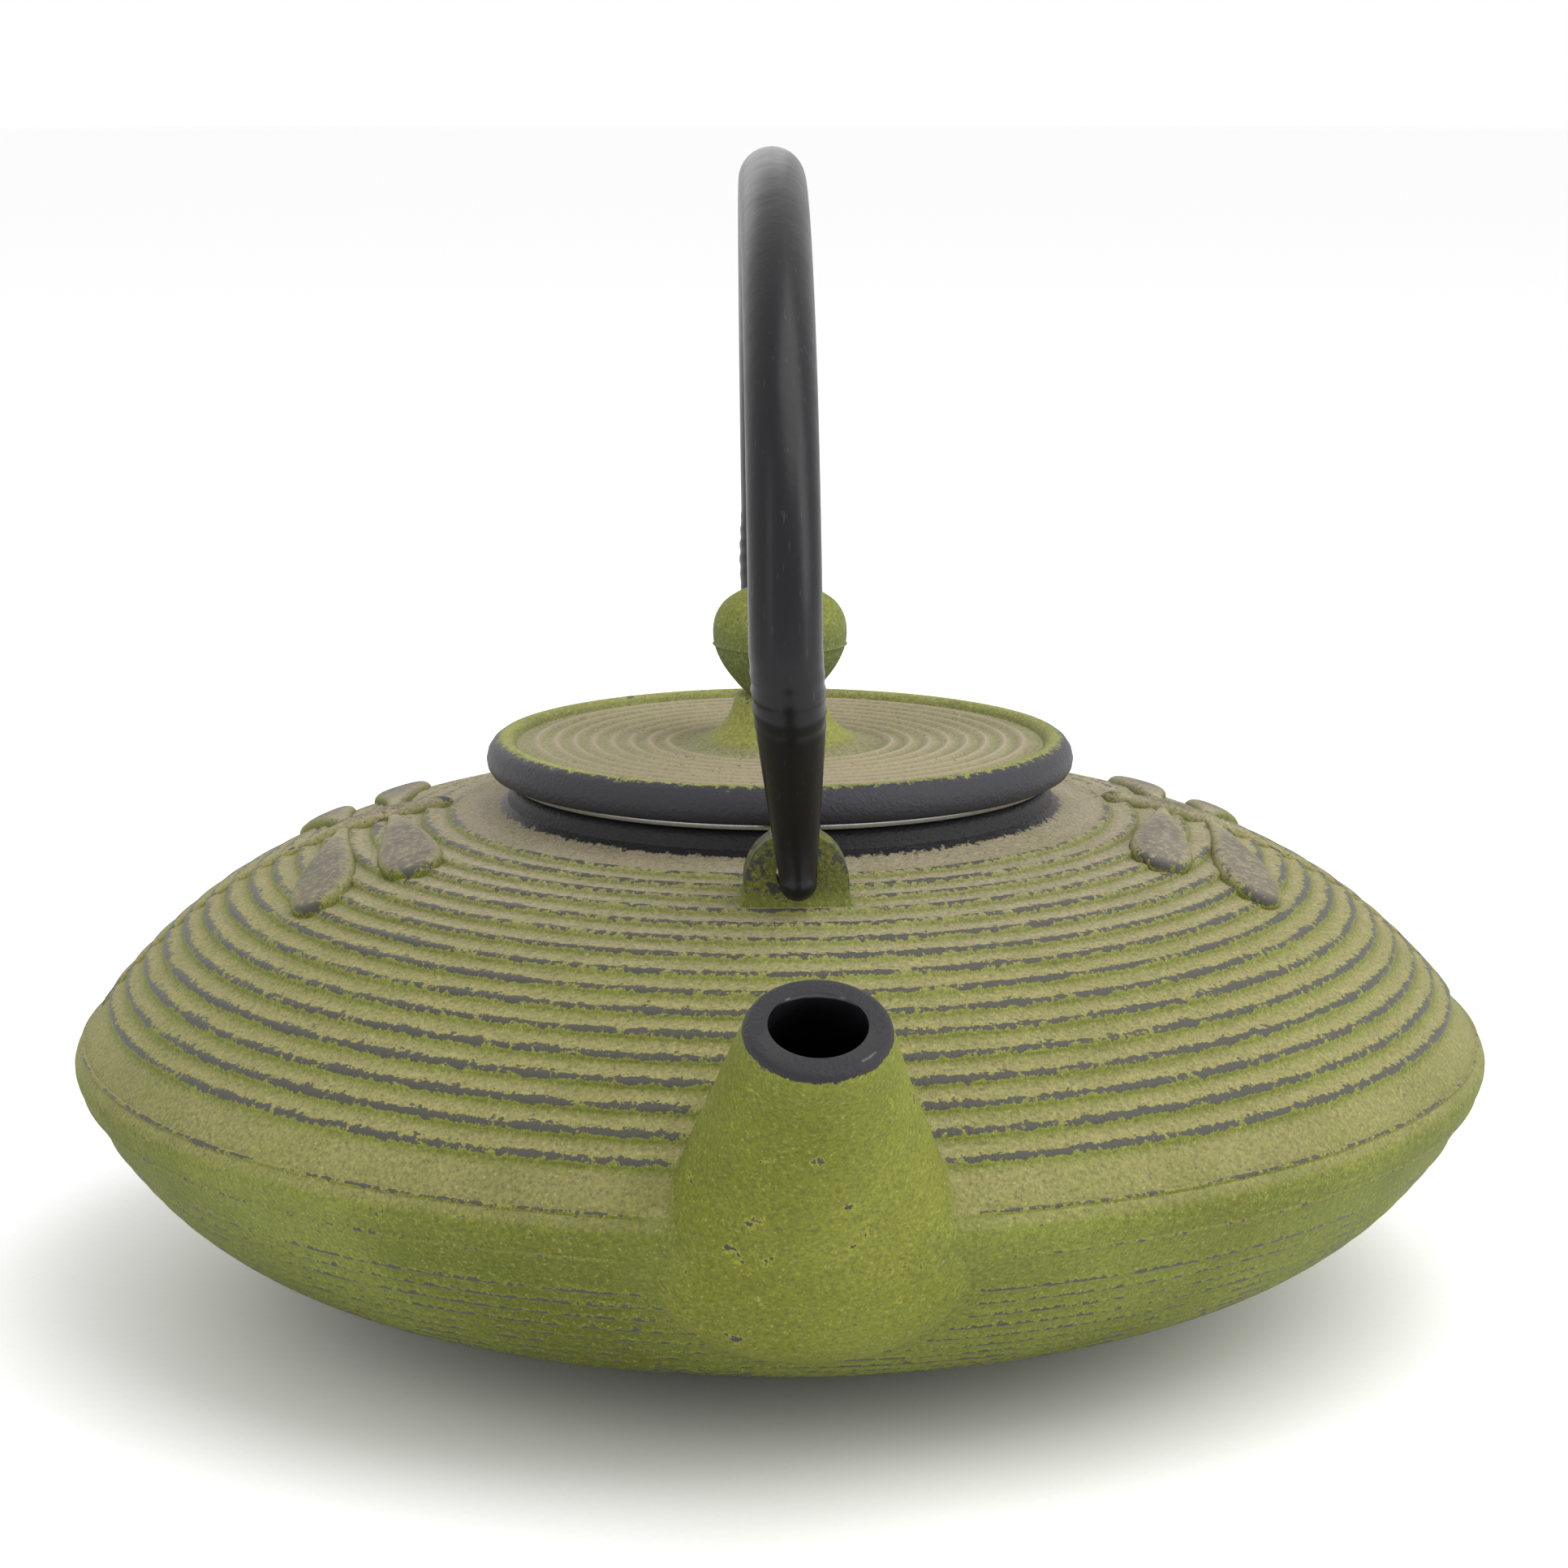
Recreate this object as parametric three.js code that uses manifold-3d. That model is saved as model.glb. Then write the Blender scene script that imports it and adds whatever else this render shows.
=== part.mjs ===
// A flat, lens-shaped cast iron teapot with a bail handle and a lift-out tea strainer.
// Millimetres, +Z up. The origin is the centre of the flat base, on the pot's axis.
// The spout points along -Y and the handle's arch stands in the plane x = 0.

import * as THREE from "three";
import { mergeVertices } from "three/addons/utils/BufferGeometryUtils.js";
import Module from "manifold-3d";

const wasm = await Module();
wasm.setup();

// ---------- driving dimensions ----------

const GAP = 0.3; // clearance between pieces that rest on each other

// pot
const POT_RADIUS = 90;
const PARTING_Z = 32.5; // height of the widest ring, where the two mould halves met
const FOOT_RADIUS = 35.5;
const COLLAR_RADIUS = 34.6;
const COLLAR_TOP = 65.7;
const NECK_RADIUS = 31.6;
const CAVITY_SCALE_R = 0.962; // the cavity is the outer lens drawn in by the wall's thickness
const CAVITY_SCALE_Z = 0.89;
const CAVITY_CENTRE_Z = 34;

// ears
const EAR_INNER_Y = 45;
const EAR_THICKNESS = 5;
const EAR_WIDTH = 12.2;
const EAR_TOP = 69;
const EAR_ROOT_Z = 56;
const EAR_HOLE_RADIUS = 2.4;

// spout: a flared cone about a tilted axis, drawn out sideways into an oval root
const MOUTH_Y = 100;
const MOUTH_Z = 58;
const SPOUT_TILT = THREE.MathUtils.degToRad(50);
const MOUTH_TILT = THREE.MathUtils.degToRad(69); // elevation of the mouth face's normal
const SPOUT_WALL = 2.5;
const SPOUT_DEPTH = 52; // from the mouth back to the spout's root, inside the pot's wall
const BORE_DEPTH = 38;
const ROUND_DEPTH = 15; // how far back the section stays round
const OVAL_GROWTH = 0.0087; // added width for each millimetre behind that

// handle
const PIVOT_Z = 64;
const BAR_RADIUS = 4.15;
const BAR_END_RADIUS = 2.15;
const ARCH_HALF_SPAN = 63.7;
const ARCH_CENTRE_Z = 92.4;
const ARCH_TOP = 141.35; // centre line of the bar at its highest point
const BAR_END_Y = 52.9;
const HOOK_RADIUS = 1.9;
const HOOK_INNER_Y = 43.4;

// lid and knob
const LID_RADIUS = 37.3;
const LID_UNDERSIDE = 66.8;
const LID_SKIRT_RADIUS = 29.5;
const LID_SKIRT_BOTTOM = 60.5;
const PEDESTAL_TOP = 76.8;
const KNOB_RADIUS = 8.45;
const KNOB_TOP = 91.5;
const SCREW_RADIUS = 1.95;
const SCREW_HOLE_RADIUS = 2.3;

// strainer
const STRAINER_RADIUS = 30.6;
const SHEET = 0.5;
const FLANGE_RADIUS = 33.9;
const FLANGE_TOP = 66.5;
const BAND_BOTTOM = 54;
const MESH_TOP = 58;
const STRAINER_BOTTOM = 29.2;

const POT_SEGMENTS = 60;
const ROUND_SEGMENTS = 40;
const SMALL_SEGMENTS = 24;

// ---------- finishes ----------

const finish = (color, roughness, metalness) =>
  new THREE.MeshStandardMaterial({ color, roughness, metalness });

const greenIron = () => finish(0x7d8440, 0.75, 0.1);
const blackIron = () => finish(0x17171a, 0.45, 0.3);
const steel = () => finish(0xc4c6c9, 0.3, 1);

// ---------- shape helpers ----------

const v2 = (x, y) => new THREE.Vector2(x, y);

// Turns a profile of [radius, height] pairs about the Z axis.
function lathe(profile, segments = ROUND_SEGMENTS) {
  const points = profile.map(([r, z]) => v2(r, z));
  return new THREE.LatheGeometry(points, segments).rotateX(Math.PI / 2);
}

// A profile that doesn't touch the axis is closed by repeating its first point.
const ring = (profile, segments) => lathe([...profile, profile[0]], segments);

// Evenly spaced [x, y] points on a smooth curve through the given ones.
function smooth(points, steps) {
  const curve = new THREE.SplineCurve(points.map(([x, y]) => v2(x, y)));
  return curve.getSpacedPoints(steps).map((p) => [p.x, p.y]);
}

function toSolid(geometry) {
  const bare = new THREE.BufferGeometry();
  bare.setAttribute("position", geometry.getAttribute("position").clone());
  bare.setIndex(geometry.index);
  const merged = mergeVertices(bare, 1e-4);
  return new wasm.Manifold(
    new wasm.Mesh({
      numProp: 3,
      vertProperties: merged.attributes.position.array,
      triVerts: new Uint32Array(merged.index.array),
    }),
  );
}

function toGeometry(solid) {
  const { vertProperties, triVerts } = solid.getMesh();
  const geometry = new THREE.BufferGeometry();
  geometry.setAttribute("position", new THREE.BufferAttribute(vertProperties, 3));
  geometry.setIndex(new THREE.BufferAttribute(triVerts, 1));
  return geometry;
}

function part(name, geometry, material) {
  const mesh = new THREE.Mesh(geometry, material);
  mesh.name = name;
  return mesh;
}

// ---------- teapot body ----------

// Outside of the lens from the collar's foot, round the widest ring, to the foot disc.
const LENS = smooth(
  [
    [COLLAR_RADIUS, 62.9],
    [54, 59.1],
    [72, 50.9],
    [84.6, 39.7],
    [POT_RADIUS, PARTING_Z],
    [84.6, 23],
    [72, 11.7],
    [54, 5.8],
    [FOOT_RADIUS, 1.3],
  ],
  20,
);

function outerPot() {
  const collar = [
    [0, COLLAR_TOP],
    [COLLAR_RADIUS - 0.8, COLLAR_TOP],
    [COLLAR_RADIUS, COLLAR_TOP - 0.8],
  ];
  const profile = [...collar, ...LENS, [FOOT_RADIUS, 0], [0, 0]];
  return toSolid(lathe(profile.reverse(), POT_SEGMENTS));
}

function cavity() {
  const inner = LENS.map(([r, z]) => [
    r * CAVITY_SCALE_R,
    CAVITY_CENTRE_Z + (z - CAVITY_CENTRE_Z) * CAVITY_SCALE_Z,
  ]).filter(([r]) => r > NECK_RADIUS + 2);
  const neckFoot = [NECK_RADIUS, inner[0][1] + 0.5];
  const floor = [0, inner.at(-1)[1] - 0.4];
  const neck = [
    [0, COLLAR_TOP + 1],
    [NECK_RADIUS, COLLAR_TOP + 1],
  ];
  const profile = [...neck, neckFoot, ...inner, floor];
  return toSolid(lathe(profile.reverse(), POT_SEGMENTS));
}

// [radius, distance back from the mouth] along the spout's axis.
const SPOUT_PROFILE = [
  [7.2, -6],
  [7.75, 0],
  [9.35, 10],
  [11, 20],
  [12.7, 30],
  [14.3, 38],
  [14.8, 42],
  [12, 47],
  [6.5, 52],
];

// Widens the section along X, more towards the root.
function drawOut(cone) {
  const position = cone.getAttribute("position");
  for (let i = 0; i < position.count; i += 1) {
    const back = Math.max(0, -position.getZ(i) - ROUND_DEPTH);
    position.setX(i, position.getX(i) * (1 + OVAL_GROWTH * back));
  }
  return cone;
}

// A solid about the spout's axis, its radius drawn in by inset, down to a depth.
function spoutCone(inset, depth) {
  const kept = SPOUT_PROFILE.filter(([, back]) => back <= depth);
  const outline = kept.map(([r, back]) => [r - inset, -back]);
  const profile = [[0, outline[0][1]], ...outline, [0, -depth - 1.5]];
  const cone = drawOut(lathe(profile.reverse(), 28));
  cone.rotateX(Math.PI / 2 - SPOUT_TILT);
  return toSolid(cone.translate(0, -MOUTH_Y, MOUTH_Z));
}

// Everything beyond the plane of the mouth.
function beyondMouth() {
  const block = new THREE.BoxGeometry(60, 60, 40).translate(0, 0, 20);
  block.rotateX(Math.PI / 2 - MOUTH_TILT);
  return toSolid(block.translate(0, -MOUTH_Y, MOUTH_Z));
}

// An arch-topped lug, side = -1 in front and 1 behind.
function ear(side) {
  const half = EAR_WIDTH / 2;
  const outline = new THREE.Shape();
  outline.moveTo(-half, EAR_ROOT_Z);
  outline.lineTo(half, EAR_ROOT_Z);
  outline.lineTo(half, EAR_TOP - half);
  outline.absarc(0, EAR_TOP - half, half, 0, Math.PI);
  const lug = new THREE.ExtrudeGeometry(outline, {
    depth: EAR_THICKNESS,
    bevelEnabled: false,
    curveSegments: 8,
  });
  lug.rotateX(Math.PI / 2);
  return toSolid(lug.translate(0, side < 0 ? -EAR_INNER_Y : EAR_INNER_Y + EAR_THICKNESS, 0));
}

function earHoles() {
  const length = 2 * (EAR_INNER_Y + EAR_THICKNESS + 5);
  const pin = new THREE.CylinderGeometry(EAR_HOLE_RADIUS, EAR_HOLE_RADIUS, length, 16);
  return toSolid(pin.translate(0, 0, PIVOT_Z));
}

// The hole is drilled through the ears only, so the neck's collar isn't cut.
function drilledEars() {
  return ear(-1).add(ear(1)).subtract(earHoles());
}

function teapotBody() {
  const spout = spoutCone(0, SPOUT_DEPTH).subtract(beyondMouth());
  const casting = outerPot().add(spout).add(drilledEars());
  const hollow = cavity().add(spoutCone(SPOUT_WALL, BORE_DEPTH));
  return part("teapot_body", toGeometry(casting.subtract(hollow)), greenIron());
}

// ---------- bail handle ----------

// One side of the arch from its top to the ear: a quarter ellipse, then an inward sweep.
function archPath() {
  const path = new THREE.CurvePath();
  const rise = ARCH_TOP - ARCH_CENTRE_Z;
  const sweep = (sign) =>
    new THREE.CubicBezierCurve3(
      new THREE.Vector3(0, sign * ARCH_HALF_SPAN, ARCH_CENTRE_Z),
      new THREE.Vector3(0, sign * ARCH_HALF_SPAN, ARCH_CENTRE_Z - 10),
      new THREE.Vector3(0, sign * BAR_END_Y, PIVOT_Z + 12),
      new THREE.Vector3(0, sign * BAR_END_Y, PIVOT_Z - 0.4),
    );
  const front = sweep(-1);
  [front.v0, front.v1, front.v2, front.v3] = [front.v3, front.v2, front.v1, front.v0];
  const top = [];
  for (let i = 0; i <= 32; i += 1) {
    const turn = Math.PI * (1 - i / 32);
    const y = ARCH_HALF_SPAN * Math.cos(turn);
    top.push(new THREE.Vector3(0, y, ARCH_CENTRE_Z + rise * Math.sin(turn)));
  }
  path.add(front);
  path.add(new THREE.CatmullRomCurve3(top));
  path.add(sweep(1));
  return path;
}

// Full thickness above the taper, thinning to the end in the ear.
function barRadius(z) {
  const taperTop = ARCH_CENTRE_Z - 6;
  const share = THREE.MathUtils.clamp((taperTop - z) / (taperTop - PIVOT_Z), 0, 1);
  return THREE.MathUtils.lerp(BAR_RADIUS, BAR_END_RADIUS, share ** 1.2);
}

// A capped cylinder whose rings are laid along the arch, each with the bar's own radius.
function taperedBar() {
  const path = archPath();
  const steps = 56;
  const bar = new THREE.CylinderGeometry(1, 1, 1, 12, steps);
  const position = bar.getAttribute("position");
  const across = new THREE.Vector3(1, 0, 0);
  for (let i = 0; i < position.count; i += 1) {
    const at = THREE.MathUtils.clamp(position.getY(i) + 0.5, 0, 1);
    const centre = path.getPointAt(at);
    const normal = path.getTangentAt(at).cross(across).negate();
    const radius = barRadius(centre.z);
    centre.addScaledVector(across, position.getX(i) * radius);
    centre.addScaledVector(normal, position.getZ(i) * radius);
    position.setXYZ(i, centre.x, centre.y, centre.z);
  }
  return toSolid(bar);
}

// The round end of the bar and the pin that turns in from it through the ear.
function hook(side) {
  const tip = new THREE.SphereGeometry(BAR_END_RADIUS + 0.02, 12, 8);
  tip.translate(0, side * BAR_END_Y, PIVOT_Z - 0.35);
  const length = BAR_END_Y - HOOK_INNER_Y;
  const pin = new THREE.CylinderGeometry(HOOK_RADIUS, HOOK_RADIUS, length, 12);
  pin.translate(0, side * (BAR_END_Y - length / 2), PIVOT_Z);
  return toSolid(tip).add(toSolid(pin));
}

function bailHandle() {
  const handle = taperedBar().add(hook(-1)).add(hook(1));
  return part("bail_handle", toGeometry(handle), blackIron());
}

// ---------- lid ----------

function lid() {
  const rim = smooth(
    [
      [33.3, 70.9],
      [35.3, 71.6],
      [LID_RADIUS, 69.4],
      [36.4, LID_UNDERSIDE],
    ],
    6,
  );
  const pedestal = [
    [SCREW_HOLE_RADIUS, PEDESTAL_TOP],
    [5.5, PEDESTAL_TOP],
    [6.1, 74.5],
    [7.6, 72.2],
    [10.6, 70.4],
    [20, 70.4],
  ];
  const skirt = [
    [LID_SKIRT_RADIUS, LID_UNDERSIDE],
    [LID_SKIRT_RADIUS, LID_SKIRT_BOTTOM],
    [LID_SKIRT_RADIUS - 2.4, LID_SKIRT_BOTTOM],
    [LID_SKIRT_RADIUS - 2.4, LID_UNDERSIDE],
    [SCREW_HOLE_RADIUS, LID_UNDERSIDE],
  ];
  return part("lid", ring([...pedestal, ...rim, ...skirt].reverse()), greenIron());
}

function lidKnob() {
  const bottom = PEDESTAL_TOP + GAP;
  const bud = smooth(
    [
      [4.6, bottom],
      [7.3, 80.8],
      [KNOB_RADIUS, 84.5],
      [7.2, 88.6],
      [3, 90.7],
      [1.5, KNOB_TOP],
    ],
    10,
  );
  const bore = [
    [0, 86.2],
    [SCREW_HOLE_RADIUS, 86.2],
    [SCREW_HOLE_RADIUS, bottom],
  ];
  return part("lid_knob", lathe([...bore, ...bud, [0, KNOB_TOP]], 32), greenIron());
}

function knobWasher() {
  const top = LID_UNDERSIDE - GAP;
  const profile = [
    [SCREW_HOLE_RADIUS, top - 0.6],
    [5, top - 0.6],
    [5, top],
    [SCREW_HOLE_RADIUS, top],
  ];
  return part("knob_washer", ring(profile, SMALL_SEGMENTS), steel());
}

// A pan-head screw that holds the knob from under the lid, with a straight driver slot.
function knobScrew() {
  const seat = LID_UNDERSIDE - GAP - 0.6 - GAP;
  const head = seat - 2.6;
  const profile = [
    [0, head],
    [2.9, head],
    [3.8, head + 0.9],
    [3.8, seat],
    [SCREW_RADIUS, seat],
    [SCREW_RADIUS, 85.6],
    [0, 85.6],
  ];
  const slot = new THREE.BoxGeometry(10, 1, 2.2).translate(0, 0, head);
  const screw = toSolid(lathe(profile, SMALL_SEGMENTS)).subtract(toSolid(slot));
  return part("knob_screw", toGeometry(screw), steel());
}

// ---------- strainer ----------

// The flange that hangs on the collar, and the plain band below it.
function strainerRim() {
  const inner = STRAINER_RADIUS - SHEET;
  const profile = [
    [inner, BAND_BOTTOM],
    [STRAINER_RADIUS, BAND_BOTTOM],
    [STRAINER_RADIUS, FLANGE_TOP - SHEET],
    [FLANGE_RADIUS, FLANGE_TOP - SHEET],
    [FLANGE_RADIUS, FLANGE_TOP],
    [inner, FLANGE_TOP],
  ];
  return part("strainer_rim", ring(profile), steel());
}

function strainerWall() {
  const outer = STRAINER_RADIUS - SHEET - GAP;
  const bottom = STRAINER_BOTTOM + 2 * SHEET + 2 * GAP;
  const profile = [
    [outer - SHEET, bottom],
    [outer, bottom],
    [outer, MESH_TOP],
    [outer - SHEET, MESH_TOP],
  ];
  return part("strainer_mesh_wall", ring(profile), steel());
}

function strainerBase() {
  const bottom = STRAINER_BOTTOM + SHEET + GAP;
  const radius = STRAINER_RADIUS - SHEET - GAP;
  const profile = [
    [0, bottom],
    [radius, bottom],
    [radius, bottom + SHEET],
    [0, bottom + SHEET],
  ];
  return part("strainer_mesh_base", lathe(profile), steel());
}

// The turned-over ring that clamps the wall to the base.
function strainerRing() {
  const inner = STRAINER_RADIUS - SHEET;
  const profile = [
    [26.5, STRAINER_BOTTOM],
    [STRAINER_RADIUS, STRAINER_BOTTOM],
    [STRAINER_RADIUS, STRAINER_BOTTOM + 4.5],
    [inner, STRAINER_BOTTOM + 4.5],
    [inner, STRAINER_BOTTOM + SHEET],
    [26.5, STRAINER_BOTTOM + SHEET],
  ];
  return part("strainer_base_ring", ring(profile), steel());
}

// ---------- assembly ----------

function group(...children) {
  const made = new THREE.Group();
  made.add(...children);
  return made;
}

const lidGroup = group(lid(), lidKnob(), knobWasher(), knobScrew());
const strainer = group(strainerRim(), strainerWall(), strainerBase(), strainerRing());
const teapot = group(teapotBody(), bailHandle(), strainer, lidGroup);

export default teapot;
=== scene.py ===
import math

import bpy
import numpy as np
from mathutils import Matrix, Vector
from mathutils.bvhtree import BVHTree


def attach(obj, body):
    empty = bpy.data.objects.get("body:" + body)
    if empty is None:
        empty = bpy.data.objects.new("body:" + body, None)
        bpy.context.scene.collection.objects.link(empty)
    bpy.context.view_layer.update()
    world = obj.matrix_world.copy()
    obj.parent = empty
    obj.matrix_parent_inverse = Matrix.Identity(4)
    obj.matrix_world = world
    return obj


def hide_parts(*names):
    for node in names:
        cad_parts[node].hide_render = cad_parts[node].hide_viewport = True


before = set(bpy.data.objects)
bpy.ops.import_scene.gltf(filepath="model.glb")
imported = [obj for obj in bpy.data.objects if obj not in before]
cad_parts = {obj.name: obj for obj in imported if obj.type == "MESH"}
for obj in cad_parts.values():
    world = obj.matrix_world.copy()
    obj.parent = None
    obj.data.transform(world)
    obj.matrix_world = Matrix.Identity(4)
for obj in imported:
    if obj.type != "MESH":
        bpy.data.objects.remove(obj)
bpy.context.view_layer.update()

bl_info = {
    "name": "Cast Iron Teapot",
    "version": (1, 0, 0),
    "blender": (4, 5, 0),
    "location": "View3D > Sidebar > Teapot",
    "description": "Models a ringed, green-patinated cast iron teapot round its packed frame",
    "category": "Object",
}

MM = 0.001
FULL_TURN = 2 * math.pi

# Heights and radii are in millimetres from the centre of the foot, on the pot's axis.
COLLAR_RADIUS = 34.6
COLLAR_TOP = 65.7
NECK_RADIUS = 31.6
FOOT_RADIUS = 35.5
CAVITY_SCALE_R = 0.962
CAVITY_SCALE_Z = 0.89
CAVITY_CENTRE = 34.0
PIVOT_Z = 64.0
EAR_HOLE_RADIUS = 2.4
EAR_Y = 47.5  # middle of each ear, before and behind the axis
ROOT_REACH = 2.7  # how far from the corner the spout's root is eased

# Outside of the lens without its rings, from the collar's foot to the foot disc.
LENS_POINTS = [
    (34.6, 62.9), (45.0, 61.1), (54.0, 59.0), (63.0, 55.7), (72.0, 50.9), (79.2, 45.2),
    (84.6, 39.6), (88.2, 35.2), (89.9, 32.2), (88.4, 28.6), (84.6, 23.0), (79.2, 16.9),
    (72.0, 11.7), (63.0, 8.0), (54.0, 5.6), (44.0, 3.2), (35.5, 1.3),
]


# ---------- colours ----------

def linear(code):
    """Linear RGBA of an sRGB hex colour such as "#7d8440"."""
    parts = [int(code[i:i + 2], 16) / 255 for i in (1, 3, 5)]
    return tuple([c / 12.92 if c <= 0.04045 else ((c + 0.055) / 1.055) ** 2.4 for c in parts] + [1.0])


def colour_property(name, description, code):
    return bpy.props.FloatVectorProperty(
        name=name, description=description, subtype="COLOR", size=4, min=0, max=1,
        default=linear(code))


def length_property(name, description, millimetres):
    return bpy.props.FloatProperty(
        name=name, description=description, default=millimetres * MM, min=0, max=0.2,
        precision=5, subtype="DISTANCE", unit="LENGTH")


class TeapotSizes(bpy.types.PropertyGroup):
    ring_height: length_property("Ring height", "Height of the cast rings on the shoulder", 0.5)
    lower_ring_height: length_property("Lower ring height", "Height of the rings under the bowl", 0.3)
    wing_height: length_property("Wing height", "How far the dragonfly wings stand proud", 1.75)
    lid_ring_height: length_property("Lid ring height", "Height of the rings on the lid", 0.45)
    wire: length_property("Strainer wire", "Thickness of the strainer's woven wire", 0.34)


class TeapotColours(bpy.types.PropertyGroup):
    patina: colour_property("Patina", "Olive green of the bowl", "#656c25")
    spout: colour_property("Spout green", "Yellower green of the spout", "#696e1f")
    dust: colour_property("Shoulder taupe", "Dry khaki bloom on surfaces that face up", "#8c855a")
    collar_dust: colour_property("Collar taupe", "Greyer bloom close to the collar", "#958b74")
    wing_grey: colour_property("Wing grey", "Rubbed grey of the dragonflies' flat wings", "#777064")
    tan: colour_property("Lid tan", "Brown bloom on the lid's ring crests", "#9a8c76")
    worn: colour_property("Worn iron", "Dark grey where the green has rubbed off", "#3f3e3f")
    bare: colour_property("Bare iron", "Black oxide of the collar and rims", "#242326")
    fleck: colour_property("Flecks", "Pale yellow-green specks in the patina", "#b3b27a")
    handle: colour_property("Handle black", "Satin black of the bail handle", "#0d0c10")
    enamel: colour_property("Enamel", "Black enamel inside the pot", "#0d0d0f")
    steel: colour_property("Steel", "Stainless steel of strainer, washer and screw", "#b9bbbd")
    floor: colour_property("Floor", "Pale floor", "#f8f8f8")


# ---------- modelling helpers ----------

def fresh():
    """Leaves edit mode and deselects everything."""
    if bpy.context.object and bpy.context.object.mode != "OBJECT":
        bpy.ops.object.mode_set(mode="OBJECT")
    bpy.ops.object.select_all(action="DESELECT")


def finish_piece(name):
    """Leaves edit mode and names the active object."""
    bpy.ops.object.mode_set(mode="OBJECT")
    piece = bpy.context.object
    bpy.ops.object.transform_apply(location=True, rotation=True, scale=True)
    piece.name = piece.data.name = name
    return piece


def make_active(piece):
    fresh()
    piece.select_set(True)
    bpy.context.view_layer.objects.active = piece


def start_point(point):
    """A new mesh of one vertex, in edit mode and selected."""
    fresh()
    bpy.ops.mesh.primitive_plane_add(size=MM, location=(0, 0, 0))
    bpy.ops.object.mode_set(mode="EDIT")
    bpy.ops.mesh.select_all(action="SELECT")
    bpy.ops.mesh.merge(type="CENTER")
    bpy.ops.transform.translate(value=point)


def turned(name, outline, steps):
    """Turns a closed outline of (radius, height) in millimetres about the pot's axis."""
    points = [Vector((r * MM, 0, z * MM)) for r, z in outline]
    start_point(points[0])
    for a, b in zip(points, points[1:]):
        bpy.ops.mesh.extrude_region_move(TRANSFORM_OT_translate={"value": b - a})
    if min(r for r, _ in outline) > 0.01:
        bpy.ops.mesh.extrude_region_move(TRANSFORM_OT_translate={"value": points[0] - points[-1]})
        bpy.ops.mesh.select_all(action="SELECT")
        bpy.ops.mesh.remove_doubles(threshold=1e-6)
    bpy.ops.mesh.select_all(action="SELECT")
    bpy.ops.mesh.spin(steps=steps, angle=FULL_TURN, center=(0, 0, 0), axis=(0, 0, 1))
    bpy.ops.mesh.select_all(action="SELECT")
    bpy.ops.mesh.remove_doubles(threshold=2e-6)
    bpy.ops.mesh.normals_make_consistent(inside=False)
    return finish_piece(name)


def select_vertices(mesh, numbers):
    """Selects those vertices, and the edges and faces they bound, from edit mode."""
    bpy.ops.mesh.select_all(action="DESELECT")
    bpy.ops.object.mode_set(mode="OBJECT")
    mask = np.zeros(len(mesh.vertices), bool)
    mask[list(numbers)] = True
    mesh.vertices.foreach_set("select", mask)
    bpy.ops.object.mode_set(mode="EDIT")


def lofted(name, stations, corners, smooth_levels=0, roundness=2.0):
    """Bridges rings of vertices. A station is (centre, across, up, half width, half height) in
    millimetres; the ends are closed with a face. Roundness above 2 squares the sections."""
    fresh()
    for number, (centre, across, up, width, height) in enumerate(stations):
        across = Vector(across).normalized()
        along = across.cross(Vector(up)).normalized()
        up = along.cross(across).normalized()
        frame_axes = Matrix((across, up, along)).transposed()
        bpy.ops.mesh.primitive_circle_add(
            vertices=corners, radius=MM, location=Vector(centre) * MM,
            rotation=frame_axes.to_euler())
        if number == 0:
            bpy.ops.object.transform_apply(location=True, rotation=True, scale=True)
            bpy.ops.object.mode_set(mode="EDIT")
            bpy.ops.mesh.select_mode(type="VERT")
            bpy.ops.mesh.select_all(action="SELECT")
        bpy.ops.transform.resize(
            value=(width, height, 1), center_override=Vector(centre) * MM,
            orient_type="GLOBAL", orient_matrix=frame_axes, orient_matrix_type="GLOBAL")
        bpy.ops.mesh.select_all(action="DESELECT")
    mesh = bpy.context.object.data
    for ring in range(len(stations) - 1):
        first = ring * corners
        select_vertices(mesh, range(first, first + 2 * corners))
        bpy.ops.mesh.bridge_edge_loops()
    for first in (0, (len(stations) - 1) * corners):
        select_vertices(mesh, range(first, first + corners))
        bpy.ops.mesh.edge_face_add()
    bpy.ops.mesh.select_all(action="SELECT")
    bpy.ops.mesh.normals_make_consistent(inside=False)
    piece = finish_piece(name)
    if roundness > 2:
        square_sections(piece, stations, corners, roundness)
    if smooth_levels:
        subdivide(piece, smooth_levels)
    return piece


def square_sections(piece, stations, corners, roundness):
    """Pushes each oval section out towards a rounded rectangle."""
    for ring, (centre, across, up, width, height) in enumerate(stations):
        across, up = Vector(across).normalized(), Vector(up).normalized()
        for vertex in piece.data.vertices[ring * corners:(ring + 1) * corners]:
            off = vertex.co / MM - Vector(centre)
            u, v = abs(off.dot(across)) / width, abs(off.dot(up)) / height
            vertex.co += off * ((u ** roundness + v ** roundness) ** (-1 / roundness) - 1) * MM


def apply_modifier(piece, kind, **settings):
    make_active(piece)
    modifier = piece.modifiers.new(kind.title(), kind)
    for key, value in settings.items():
        setattr(modifier, key, value)
    bpy.ops.object.modifier_apply(modifier=modifier.name)


def subdivide(piece, levels):
    apply_modifier(piece, "SUBSURF", levels=levels, render_levels=levels)


def combine(piece, other, operation):
    """Joins, cuts or keeps the overlap with another solid, which is used up."""
    apply_modifier(piece, "BOOLEAN", operation=operation, object=other, solver="MANIFOLD")
    mesh = other.data
    bpy.data.objects.remove(other)
    bpy.data.meshes.remove(mesh)
    if len(piece.data.polygons) == 0:
        raise RuntimeError(f"{piece.name} is empty after {operation}")


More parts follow.
